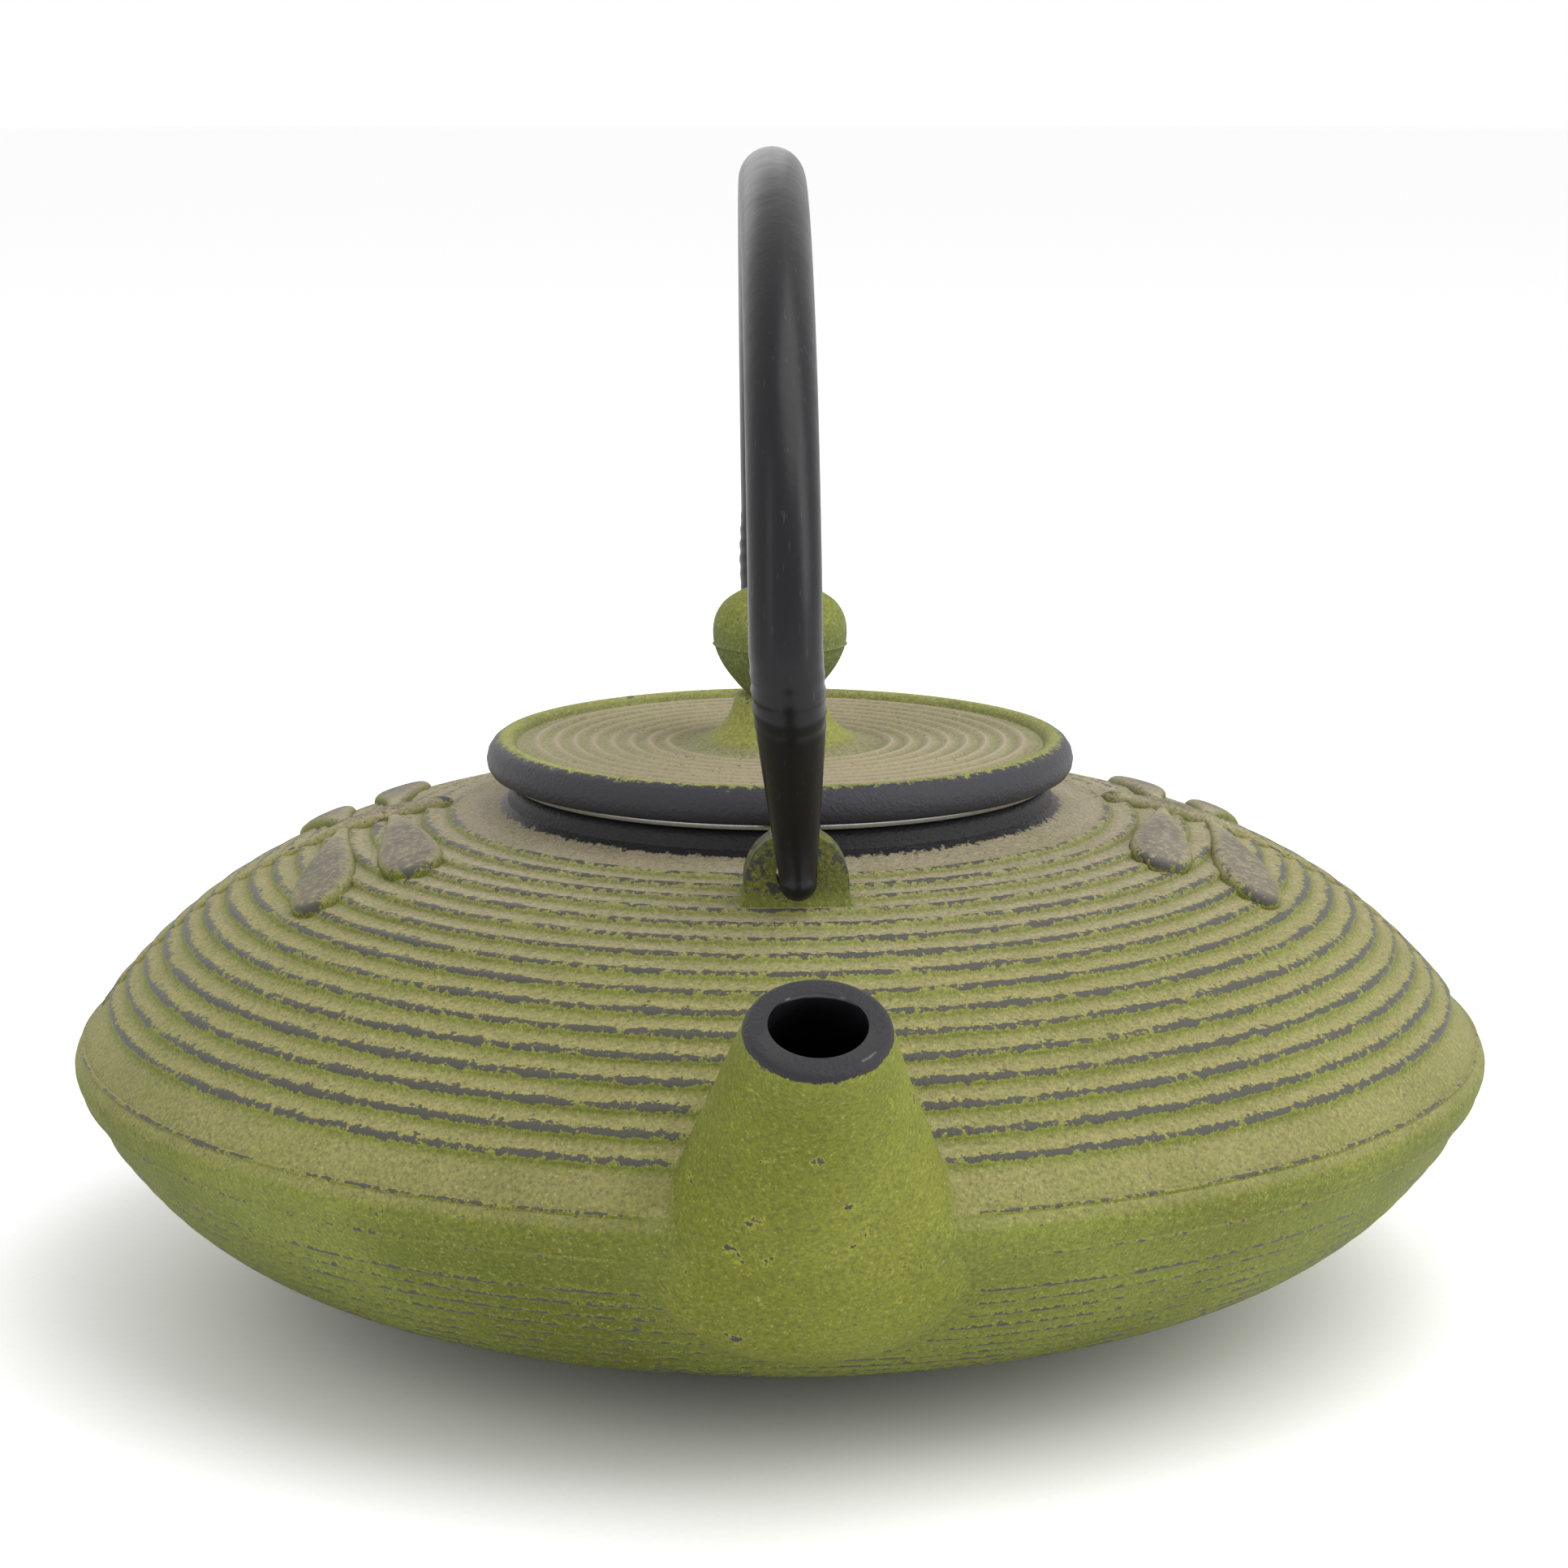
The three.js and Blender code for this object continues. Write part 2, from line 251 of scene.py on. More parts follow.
def shade(piece, degrees=38):
    make_active(piece)
    bpy.ops.object.shade_smooth_by_angle(angle=math.radians(degrees))


def hand_over(piece, body, nodes, materials):
    """Gives a finished piece its materials and its place in the frame."""
    piece.data.materials.clear()
    for material in materials:
        piece.data.materials.append(material)
    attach(piece, body)
    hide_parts(*nodes)
    return piece


def copy_mirrored(piece, name):
    """A copy with its own mesh, mirrored left to right."""
    make_active(piece)
    bpy.ops.object.duplicate()
    twin = bpy.context.object
    twin.name = twin.data.name = name
    twin.scale.x = -1
    bpy.ops.object.transform_apply(location=False, rotation=False, scale=True)
    bpy.ops.object.mode_set(mode="EDIT")
    bpy.ops.mesh.select_all(action="SELECT")
    bpy.ops.mesh.normals_make_consistent(inside=False)
    bpy.ops.object.mode_set(mode="OBJECT")
    return twin


# ---------- curves ----------

def curve_through(points, per_span):
    """Points on a smooth curve through the given ones."""
    p = [np.array(q, float) for q in points]
    p = [2 * p[0] - p[1]] + p + [2 * p[-1] - p[-2]]
    found = []
    for a, b, c, d in zip(p, p[1:], p[2:], p[3:]):
        for t in np.arange(per_span) / per_span:
            found.append(0.5 * (2 * b + (c - a) * t + (2 * a - 5 * b + 4 * c - d) * t ** 2
                                + (3 * b - a - 3 * c + d) * t ** 3))
    return np.array(found + [p[-2]])


LENS = curve_through(LENS_POINTS, 24)
LENS_RUN = np.concatenate([[0], np.cumsum(np.hypot(*np.diff(LENS, axis=0).T))])
WIDEST_RUN = LENS_RUN[np.argmax(LENS[:, 0])]


def lens_at(run):
    """(radius, height) on the smooth lens at a distance along its outline."""
    return np.array([np.interp(run, LENS_RUN, LENS[:, i]) for i in (0, 1)])


def lens_normal(run):
    """Outward normal of the smooth lens outline."""
    a, b = lens_at(run - 0.6), lens_at(run + 0.6)
    return np.array([a[1] - b[1], b[0] - a[0]]) / np.hypot(*(b - a))


def lens_lift(radius, height):
    """How far points stand off the smooth lens, and the nearest distance along its outline."""
    runs = np.linspace(0, LENS_RUN[-1], 700)
    line = np.array([lens_at(run) for run in runs])
    normal = np.array([lens_normal(run) for run in runs])
    spots = np.stack([radius, height], 1)
    nearest = np.concatenate([
        ((block[:, None] - line[None]) ** 2).sum(-1).argmin(1)
        for block in np.array_split(spots, max(1, len(spots) // 8000))])
    off = spots - line[nearest]
    lift = (off * normal[nearest]).sum(1)
    onward = np.stack([normal[nearest][:, 1], -normal[nearest][:, 0]], 1)
    return lift, runs[nearest] + (off * onward).sum(1)


def dome_height(radius):
    """Height of the smooth dome above a radius."""
    upper = LENS[LENS_RUN <= WIDEST_RUN]
    return float(np.interp(radius, upper[:, 0], upper[:, 1]))


def ring_crests():
    """Distance along the lens outline of every ring crest on the shoulder and under the bowl."""
    first, pitch, count = 7.1, 3.33, 16
    shoulder = [first + pitch * n for n in range(count)]
    low_first, low_pitch, low_last = 74.3, 2.42, LENS_RUN[-1] - 3
    return shoulder, list(np.arange(low_first, low_last, low_pitch))


SHOULDER_CRESTS, BOWL_CRESTS = ring_crests()
# (share of the pitch from the crest, share of the height): a slow rise, then a short drop.
SHOULDER_RING = [(-0.66, 0.0), (-0.4, 0.2), (-0.16, 0.66), (0.0, 1.0), (0.13, 0.86), (0.24, 0.22)]
BOWL_RING = [(-0.5, 0.0), (-0.22, 0.45), (0.0, 1.0), (0.24, 0.4)]
# (height on the pot, how far the ridge stands proud) of the two lines where the mould parted
PARTING_LINES = [(34.4, 0.3), (29.3, 0.22)]


def relief_knots(height, lower_height):
    """(distance along the outline, height of the relief) of every drawn point of the lens."""
    knots = [(0.0, 0.0), (1.4, 0.0), (3.0, 0.0)]
    pitch = SHOULDER_CRESTS[1] - SHOULDER_CRESTS[0]
    for crest in SHOULDER_CRESTS:
        knots += [(crest + pitch * at, height * share) for at, share in SHOULDER_RING]
    last = knots[-1][0]
    knots.append((last + 0.35, 0.0))
    runs = np.interp([-z for z, _ in PARTING_LINES], -LENS[:, 1], LENS_RUN)
    for run, (_, proud) in zip(runs, PARTING_LINES):
        knots += [(run - 0.32, 0.0), (run - 0.12, proud), (run + 0.12, proud), (run + 0.4, 0.0)]
    knots += [(r, 0.0) for r in np.arange(last + 1.0, BOWL_CRESTS[0] - 1.4, 0.75)
              if min(abs(runs - r)) > 0.6]
    pitch = BOWL_CRESTS[1] - BOWL_CRESTS[0]
    for crest in BOWL_CRESTS:
        knots += [(crest + pitch * at, lower_height * share) for at, share in BOWL_RING]
    knots += [(LENS_RUN[-1] - 1.6, 0.0), (LENS_RUN[-1], 0.0)]
    return sorted(knots)


# ---------- the casting ----------

def casting_outline(knots):
    body = [tuple(lens_at(run) + lens_normal(run) * relief) for run, relief in knots]
    top = [(0.0, COLLAR_TOP), (20.0, COLLAR_TOP), (33.4, COLLAR_TOP), (34.1, 65.5), (34.5, 65.0),
           (COLLAR_RADIUS, 64.2)]
    fillet = [(34.75, 63.5), (35.3, 63.05)]
    foot = [(FOOT_RADIUS, 0.4), (35.1, 0.0), (20.0, 0.0), (0.0, 0.0)]
    return top + fillet + body[1:] + foot


def cavity_outline():
    inner = [(r * CAVITY_SCALE_R, CAVITY_CENTRE + (z - CAVITY_CENTRE) * CAVITY_SCALE_Z)
             for r, z in LENS[::8] if r * CAVITY_SCALE_R > NECK_RADIUS + 1]
    neck = [(0.0, 68.0), (33.0, 68.0), (NECK_RADIUS + 0.5, COLLAR_TOP - 0.1),
            (NECK_RADIUS, COLLAR_TOP - 0.7), (NECK_RADIUS, inner[0][1] + 0.6)]
    return neck + inner + [(0.0, inner[-1][1] - 0.4)]


# Side view of the spout: (y, z) of the rear and front of each section, and its half width.
SPOUT_SECTIONS = [
    ((-93.4, 62.0), (-107.3, 56.1), 7.2), ((-92.6, 62.0), (-108.1, 55.4), 7.75),
    ((-91.8, 61.3), (-107.9, 54.4), 8.0), ((-89.2, 59.4), (-106.6, 52.4), 8.6),
    ((-85.0, 56.8), (-104.3, 50.6), 9.3), ((-80.8, 53.3), (-101.8, 46.6), 10.35),
    ((-77.2, 49.6), (-98.8, 41.4), 12.0), ((-76.5, 45.0), (-96.0, 36.2), 14.0),
    ((-78.5, 38.2), (-93.3, 31.2), 16.1), ((-80.2, 31.6), (-91.0, 26.8), 17.9),
    ((-79.8, 26.0), (-88.8, 22.6), 17.3), ((-77.0, 21.2), (-86.2, 18.6), 13.9),
    ((-74.0, 17.8), (-82.4, 15.6), 9.2), ((-73.0, 16.2), (-77.0, 14.9), 3.6),
]
SPOUT_BORE = [
    ((-94.6, 66.5), (-109.6, 60.5), 7.6), ((-94.9, 62.4), (-106.1, 57.5), 5.75),
    ((-95.4, 60.7), (-105.3, 56.4), 5.05), ((-95.0, 59.3), (-104.7, 55.0), 5.0),
    ((-91.0, 55.5), (-101.5, 50.0), 6.0), ((-86.0, 49.5), (-97.5, 42.0), 7.4),
    ((-81.0, 44.0), (-91.5, 34.0), 9.0), ((-76.0, 39.0), (-85.5, 28.5), 10.0),
]


def spout_station(top, bottom, width):
    top, bottom = Vector((0, *top)), Vector((0, *bottom))
    return (top + bottom) / 2, (1, 0, 0), top - bottom, width, (top - bottom).length / 2


def make_spout():
    """A tapering oval tube that widens into a broad, round-bottomed root inside the pot's wall."""
    return lofted("spout", [spout_station(*s) for s in SPOUT_SECTIONS], 32, 2)


def round_the_root(casting, spout_tree):
    """Eases the corner where the spout meets the lens, which also fades the rings there."""
    mesh = casting.data
    co, radius = places(mesh)
    lift = lens_lift(radius, co[:, 2])[0]
    near = np.nonzero((np.abs(lift) < ROOT_REACH) & (co[:, 1] < -60) & (np.abs(co[:, 0]) < 28))[0]
    group = casting.vertex_groups.new(name="root")
    for i in near:
        gap = spout_tree.find_nearest(Vector(co[i]) * MM)[3] / MM
        reach = math.hypot(gap, max(abs(lift[i]) - 0.3, 0)) / ROOT_REACH
        if reach < 1:
            group.add([int(i)], min(1.0, 1.6 * (1 - reach)), "REPLACE")
    apply_modifier(casting, "SMOOTH", factor=0.5, iterations=10, vertex_group="root")
    casting.vertex_groups.clear()


def make_ear(side):
    """An arch-topped lug with rounded edges and a foot that spreads into the dome."""
    half, thickness, centre_z, foot_z = 6.1, 5.0, 62.9, 57.0
    fresh()
    bpy.ops.mesh.primitive_circle_add(
        vertices=40, radius=half * MM, fill_type="NGON", rotation=(math.pi / 2, 0, 0),
        location=(0, (side * EAR_Y - thickness / 2) * MM, centre_z * MM))
    bpy.ops.object.transform_apply(location=True, rotation=True, scale=True)
    mesh = bpy.context.object.data
    bpy.ops.object.mode_set(mode="EDIT")
    bpy.ops.mesh.select_mode(type="VERT")
    low = [v.index for v in mesh.vertices if v.co.z < (centre_z - 0.5) * MM]
    select_vertices(mesh, low)
    bpy.ops.transform.resize(value=(1, 1, 0), center_override=(0, 0, foot_z * MM))
    bpy.ops.object.mode_set(mode="OBJECT")
    for v in mesh.vertices:
        if v.co.z < (foot_z + 0.5) * MM:
            v.co.z = foot_z * MM
    bpy.ops.object.mode_set(mode="EDIT")
    bpy.ops.mesh.select_all(action="SELECT")
    bpy.ops.mesh.extrude_region_move(TRANSFORM_OT_translate={"value": (0, thickness * MM, 0)})
    bpy.ops.mesh.select_all(action="SELECT")
    bpy.ops.mesh.normals_make_consistent(inside=False)
    bpy.ops.object.mode_set(mode="OBJECT")
    ear = bpy.context.object
    apply_modifier(ear, "BEVEL", width=0.85 * MM, segments=3, limit_method="ANGLE",
                   angle_limit=math.radians(50))
    bpy.ops.object.mode_set(mode="EDIT")
    for height in (63.4, 62.2, 61.2, 60.4):
        bpy.ops.mesh.select_all(action="SELECT")
        bpy.ops.mesh.bisect(plane_co=(0, 0, height * MM), plane_no=(0, 0, 1))
    for height, spread in ((62.3, 1.01), (61.3, 1.03), (60.5, 1.05), (58.0, 1.1)):
        select_vertices(mesh, [v.index for v in mesh.vertices if v.co.z < height * MM])
        bpy.ops.transform.resize(value=(spread, spread, 1),
                                 center_override=(0, side * EAR_Y * MM, 0))
    return finish_piece("ear")


def make_pin(name, radius, start, end):
    """A round bar between two points, for drilling or for the hook's pin."""
    start, end = Vector(start), Vector(end)
    across = Vector((1, 0, 0)) if abs((end - start).x) < 1 else Vector((0, 1, 0))
    up = (end - start).cross(across)
    return lofted(name, [(start, across, up, radius, radius), (end, across, up, radius, radius)], 32)


# Dragonfly, in the plan of the pot's right side: the body's line and each wing's root and tip.
FLY_HEAD, FLY_TAIL = (41.6, 5.6), (87.0, -2.0)
FLY_WINGS = [
    ((49.5, 3.0), (45.0, -29.0)), ((55.5, 2.5), (57.0, -30.0)),
    ((49.5, 6.0), (49.8, 38.0)), ((55.5, 5.0), (61.0, 36.0)),
]
# (share of the length, share of the widest half width, share of the height)
WING_SHAPE = [
    (0.0, 0.18, 0.6), (0.12, 0.24, 0.7), (0.28, 0.42, 0.85), (0.44, 0.65, 0.95), (0.58, 0.84, 1.0),
    (0.7, 0.97, 1.0), (0.8, 1.0, 1.0), (0.88, 0.93, 1.0), (0.94, 0.76, 1.0), (0.98, 0.5, 0.9),
    (1.0, 0.25, 0.6),
]
WING_HALF_WIDTH = 4.1
SUNK = 1.9  # how far the reliefs reach down into the dome
FLY_BODY_SHAPE = [
    (0.0, 0.5, 0.4), (0.015, 1.5, 1.2), (0.045, 2.0, 1.7), (0.08, 1.7, 1.4), (0.11, 1.9, 1.6),
    (0.18, 2.5, 1.9), (0.27, 2.5, 1.8), (0.36, 1.8, 1.3), (0.44, 1.25, 0.95), (0.58, 1.05, 0.8),
    (0.7, 1.0, 0.75), (0.82, 0.95, 0.75), (0.93, 0.9, 0.7), (0.985, 0.75, 0.55), (1.0, 0.3, 0.1),
]


def on_dome(x, y):
    """Point on the smooth dome above a place in plan, and the dome's normal there."""
    radius = math.hypot(x, y)
    slope = dome_height(radius + 0.5) - dome_height(radius - 0.5)
    normal = Vector((-slope * x / radius, -slope * y / radius, 1)).normalized()
    return Vector((x, y, dome_height(radius))), normal


def dome_strip(name, start, end, shape, width, height, corners, roundness=2.0):
    """A ridge that follows the dome between two places in plan."""
    start, end = Vector(start), Vector(end)
    stations = []
    for share, wide, high in shape:
        x, y = start.lerp(end, share)
        point, normal = on_dome(x, y)
        along = Vector((*(end - start), 0))
        across = along.cross(normal)
        rise = height * high
        stations.append((point + normal * (rise - SUNK) / 2, across, normal, width * wide,
                         (rise + SUNK) / 2))
    return lofted(name, stations, corners, 1, roundness)


def make_dragonfly(wing_height):
    fly = dome_strip("dragonfly", FLY_HEAD, FLY_TAIL, FLY_BODY_SHAPE, 1.0, 1.0, 12)
    for start, end in FLY_WINGS:
        wing = dome_strip("wing", start, end, WING_SHAPE, WING_HALF_WIDTH, wing_height, 16, 4.5)
        combine(fly, wing, "UNION")
    return fly


def gathered(elements, name):
    """One vector of every vertex or face, as rows."""
    values = np.empty(len(elements) * 3)
    elements.foreach_get(name, values)
    return values.reshape(-1, 3)


def places(mesh):
    """Vertex places in millimetres, and their distance from the pot's axis."""
    co = gathered(mesh.vertices, "co") / MM
    return co, np.hypot(co[:, 0], co[:, 1])


def mark_wear(piece, knots, wing_height):
    """Stores how worn or how dust-free each vertex is: ring crests and outward edges rub bare
    first, the wings' flat tops turn grey, and the spout and ears stay green. The ear faces
    also get painted shade, which the material lays on as mottled black iron."""
    mesh = piece.data
    co, radius = places(mesh)
    lift, run = lens_lift(radius, co[:, 2])
    relief = np.interp(run, *np.array(knots).T)
    highest = np.where(run < WIDEST_RUN + 6, max(h for r, h in knots if r < WIDEST_RUN),
                       max(h for r, h in knots if r > WIDEST_RUN + 6))
    on_ring = (np.abs(lift - relief) < 0.12) & (run > 1.5)
    fade = np.where(run < WIDEST_RUN, np.clip(0.45 + run / 60, 0, 1), 1)
    store(mesh, "crest", np.where(on_ring, fade * np.clip(relief / highest, 0, 1) ** 1.8, 0))
    crests = np.array(SHOULDER_CRESTS)
    below = run[:, None] - crests[None]
    lee = np.clip(1 - np.abs(below - 0.75) / 0.7, 0, 1).max(axis=1)
    store(mesh, "lee", np.where(np.abs(lift - relief) < 0.2, lee, 0))
    flat = np.clip((lift - 0.72 * wing_height) / (0.2 * wing_height), 0, 1)
    on_wing = (np.abs(co[:, 0]) > 38) & (lift < 3) & (run < WIDEST_RUN)
    store(mesh, "raised", np.where(on_wing, flat, 0))
    on_spout = (co[:, 1] < -68) & (np.abs(co[:, 0]) < 24)
    on_ear = (np.abs(co[:, 0]) < 10) & (np.abs(np.abs(co[:, 1]) - EAR_Y) < 5)
    clear = np.clip((lift - 0.3) / 1.5, 0, 1)
    store(mesh, "fresh", np.where(on_spout | on_ear, clear, 0))
    # Painted shade on the ear faces: the material mottles them black by this value.
    store(mesh, "dark", np.where(on_ear, 0.62 * clear, 0))
    store(mesh, "edge", convexity(mesh, co))


def convexity(mesh, co):
    """How sharply the surface turns outward at each vertex, from 0 to 1."""
    edges = np.empty(len(mesh.edges) * 2, int)
    mesh.edges.foreach_get("vertices", edges)
    edges = edges.reshape(-1, 2)
    normals = gathered(mesh.vertices, "normal")
    d = co[edges[:, 1]] - co[edges[:, 0]]
    length = np.maximum(np.linalg.norm(d, axis=1), 1e-6)
    turn = ((normals[edges[:, 1]] - normals[edges[:, 0]]) * d).sum(1) / length ** 2
    weight = np.minimum(length, 1.0)
    total, count = np.zeros(len(co)), np.zeros(len(co))
    for side in (0, 1):
        np.add.at(total, edges[:, side], turn * weight)
        np.add.at(count, edges[:, side], weight)
    value = np.clip(total / np.maximum(count, 1e-6) / 0.9, 0, 1)
    for _ in range(2):
        spread, near = value * 1.0, np.ones(len(co))
        for a, b in ((0, 1), (1, 0)):
            np.add.at(spread, edges[:, a], value[edges[:, b]])
            np.add.at(near, edges[:, a], 1)
        value = spread / near
    return value


def store(mesh, name, values):
    attribute = mesh.attributes.new(name, "FLOAT", "POINT")
    attribute.data.foreach_set("value", np.asarray(values, np.float32))


def enamel_inside(piece):
    """Gives the faces inside the pot and its spout the second material."""
    mesh = piece.data
    co = gathered(mesh.polygons, "center") / MM
    normals = gathered(mesh.polygons, "normal")
    radius = np.hypot(co[:, 0], co[:, 1])
    cavity = np.array(cavity_outline()[5:-1])
    far = np.min(((np.stack([radius, co[:, 2]], 1)[:, None] - cavity[None]) ** 2).sum(-1), axis=1)
    facing_in = (normals[:, 0] * co[:, 0] + normals[:, 1] * co[:, 1]
                 + normals[:, 2] * (co[:, 2] - CAVITY_CENTRE)) < 0
    pot = facing_in & (far < 4.0) & (co[:, 2] < 60.0)
    neck = (np.abs(radius - NECK_RADIUS) < 0.25) & (co[:, 2] < 65)
    floor = (co[:, 2] > 2) & (co[:, 2] < 9) & (normals[:, 2] > 0.5) & (radius < 60)
    middle = np.array([0.0, -96.2, 52.7])
    along = np.array([0.0, 0.564, -0.826])
    offset = co - middle
    axial = offset @ along
    outward = offset - axial[:, None] * along
    spout = ((np.abs(co[:, 0]) < 11) & (co[:, 1] < -70) & (axial > -8.6)
             & ((outward * normals).sum(1) < 0) & (np.linalg.norm(outward, axis=1) < 11))
    inside = (pot | neck | floor | spout).astype(np.int32)
    mesh.polygons.foreach_set("material_index", inside)


class TEAPOT_OT_casting(bpy.types.Operator):
    """Cast body: ringed lens, spout, ears and dragonflies in one piece, hollow and enamelled inside"""
    bl_idname = "teapot.casting"
    bl_label = "Teapot casting"

    def execute(self, context):
        sizes = context.scene.teapot_sizes
        knots = relief_knots(sizes.ring_height / MM, sizes.lower_ring_height / MM)
        casting = turned("teapot_casting", casting_outline(knots), 320)
        spout = make_spout()
        spout_tree = BVHTree.FromObject(spout, context.evaluated_depsgraph_get())
        combine(casting, spout, "UNION")
        round_the_root(casting, spout_tree)
        for side in (-1, 1):
            combine(casting, make_ear(side), "UNION")
        fly = make_dragonfly(sizes.wing_height / MM)
        combine(casting, copy_mirrored(fly, "left_dragonfly"), "UNION")
        combine(casting, fly, "UNION")
        combine(casting, turned("cavity", cavity_outline(), 96), "DIFFERENCE")
        bore = lofted("bore", [spout_station(*s) for s in SPOUT_BORE], 24, 1)
        combine(casting, bore, "DIFFERENCE")
        for near, far in ((-53, -39), (39, 53)):
            hole = make_pin("ear_hole", EAR_HOLE_RADIUS, (0, near, PIVOT_Z), (0, far, PIVOT_Z))
            combine(casting, hole, "DIFFERENCE")
        mark_wear(casting, knots, sizes.wing_height / MM)
        shade(casting)
        hand_over(casting, "pot", ["teapot_body"],
                  [patinated_cast_iron(context), vitreous_enamel(context)])
        enamel_inside(casting)
        return {"FINISHED"}


# ---------- the lid and its knob ----------

LID_RING_RADII = [31.0, 28.6, 26.2, 23.8, 21.4, 19.0, 16.6, 14.2]


def lid_outline(ring_height):
    rim = [(36.75, 67.25), (37.2, 67.95), (37.35, 68.9), (37.1, 70.0), (36.5, 70.9), (35.8, 71.4),
           (35.1, 71.55), (34.4, 71.4), (33.9, 71.0), (33.5, 70.55), (33.1, 70.5), (32.7, 70.65)]
    plate = []
    for radius in LID_RING_RADII:
        dish = 70.25 + 0.35 * (radius / 33) ** 2
        plate += [(radius + 0.9, dish), (radius + 0.35, dish + 0.6 * ring_height),
                  (radius, dish + ring_height), (radius - 0.35, dish + 0.7 * ring_height),
                  (radius - 0.8, dish + 0.05)]
    pedestal = [(12.0, 70.35), (11.2, 70.5), (10.4, 70.85), (9.3, 71.35), (8.2, 72.0), (7.3, 72.8),
                (6.6, 73.8), (6.15, 74.8), (5.9, 75.7), (5.8, 76.3), (5.5, 76.7), (5.0, 76.8),
                (2.3, 76.8)]
    under = [(2.3, 66.8), (27.1, 66.8), (27.1, 61.0), (27.6, 60.5), (29.0, 60.5), (29.5, 61.0),
             (29.5, 66.8), (36.0, 66.85)]
    return rim + plate + pedestal + under


KNOB_POINTS = [(4.3, 77.1), (5.2, 77.9), (7.0, 80.2), (8.15, 82.5), (8.5, 84.6), (8.2, 86.7),
               (7.1, 88.5), (5.2, 89.8), (3.2, 90.55), (1.9, 90.9), (1.7, 91.35), (1.2, 91.6), (0.0, 91.65)]


def knob_outline():
    """An acorn bud with a faint line where its mould parted, bored for the screw."""
    bud = [tuple(p) for p in curve_through(KNOB_POINTS, 4)]
    bud += [(8.28, 83.0), (8.55, 83.2), (8.38, 83.4)]
    bud = sorted(((r, z) for r, z in bud if abs(z - 83.2) > 0.4 or z in (83.0, 83.2, 83.4)),
                 key=lambda point: point[1])
    return [(0.0, 86.2), (2.3, 86.2), (2.3, 77.1)] + bud[:-1] + [(0.0, bud[-1][1])]


def mark_turned_wear(piece, crest_heights):
    """Wear of a turned piece: its outward edges, and any radii named as crests."""
    mesh = piece.data
    co, radius = places(mesh)
    crest = np.zeros(len(co))
    for ring in crest_heights:
        crest = np.maximum(crest, np.clip(1.0 - np.abs(radius - ring) / 0.7, 0, 1))
    store(mesh, "crest", np.where(co[:, 2] > 69.5, crest, 0))
    store(mesh, "lee", np.zeros(len(co)))
    store(mesh, "raised", np.zeros(len(co)))
    store(mesh, "edge", convexity(mesh, co))


class TEAPOT_OT_lid(bpy.types.Operator):
    """Ringed lid with its pedestal, and the acorn knob above it"""
    bl_idname = "teapot.lid"
    bl_label = "Lid and knob"

    def execute(self, context):
        ring_height = context.scene.teapot_sizes.lid_ring_height / MM
        lid = turned("lid_casting", lid_outline(ring_height), 192)
        mark_turned_wear(lid, LID_RING_RADII)
        shade(lid)
        hand_over(lid, "lid", ["lid"], [lid_cast_iron(context)])
        knob = turned("knob_bud", knob_outline(), 72)
        mark_turned_wear(knob, [])
        shade(knob, 50)
        hand_over(knob, "lid", ["lid_knob"], [knob_cast_iron(context)])
        for name in ("knob_washer", "knob_screw"):
            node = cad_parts[name]
            node.data.materials.clear()
            node.data.materials.append(turned_stainless(context))
        return {"FINISHED"}


# ---------- the bail handle ----------

BAR_RADIUS = 4.15
BAR_END_RADIUS = 2.15
ARCH_HALF_SPAN = 63.7
ARCH_CENTRE = 92.4
ARCH_TOP = 141.35
BAR_END_Y = 52.9
BAIL_LEAN = 0.0128  # the bent bar leans to the left as it rises
BAIL_TWIST = 0.0235  # and its front stands left of its rear


def bar_radius(z):
    share = min(max((ARCH_CENTRE - 6 - z) / (ARCH_CENTRE - 6 - PIVOT_Z), 0), 1)
    wrinkle = 0.1 * math.sin(z * 3.1) * math.exp(-((z - 87) / 4.5) ** 2)
    return BAR_RADIUS + (BAR_END_RADIUS - BAR_RADIUS) * share ** 1.2 + wrinkle


def bail_line():
    """Centre line of the bar from the front end, over the arch, to the rear end."""
    sweep = []
    p = [Vector((-BAR_END_Y, PIVOT_Z - 0.4)), Vector((-BAR_END_Y, PIVOT_Z + 12)),
         Vector((-ARCH_HALF_SPAN, ARCH_CENTRE - 10)), Vector((-ARCH_HALF_SPAN, ARCH_CENTRE))]
    for t in np.linspace(0, 1, 44, endpoint=False):
        sweep.append(p[0] * (1 - t) ** 3 + 3 * p[1] * t * (1 - t) ** 2
                     + 3 * p[2] * t ** 2 * (1 - t) + p[3] * t ** 3)
    arch = [Vector((-ARCH_HALF_SPAN * math.cos(a), ARCH_CENTRE + (ARCH_TOP - ARCH_CENTRE) * math.sin(a)))
            for a in np.linspace(0, math.pi, 72)]
    front = sweep + arch[:36]
    return front + [Vector((-v.x, v.y)) for v in reversed(front)]


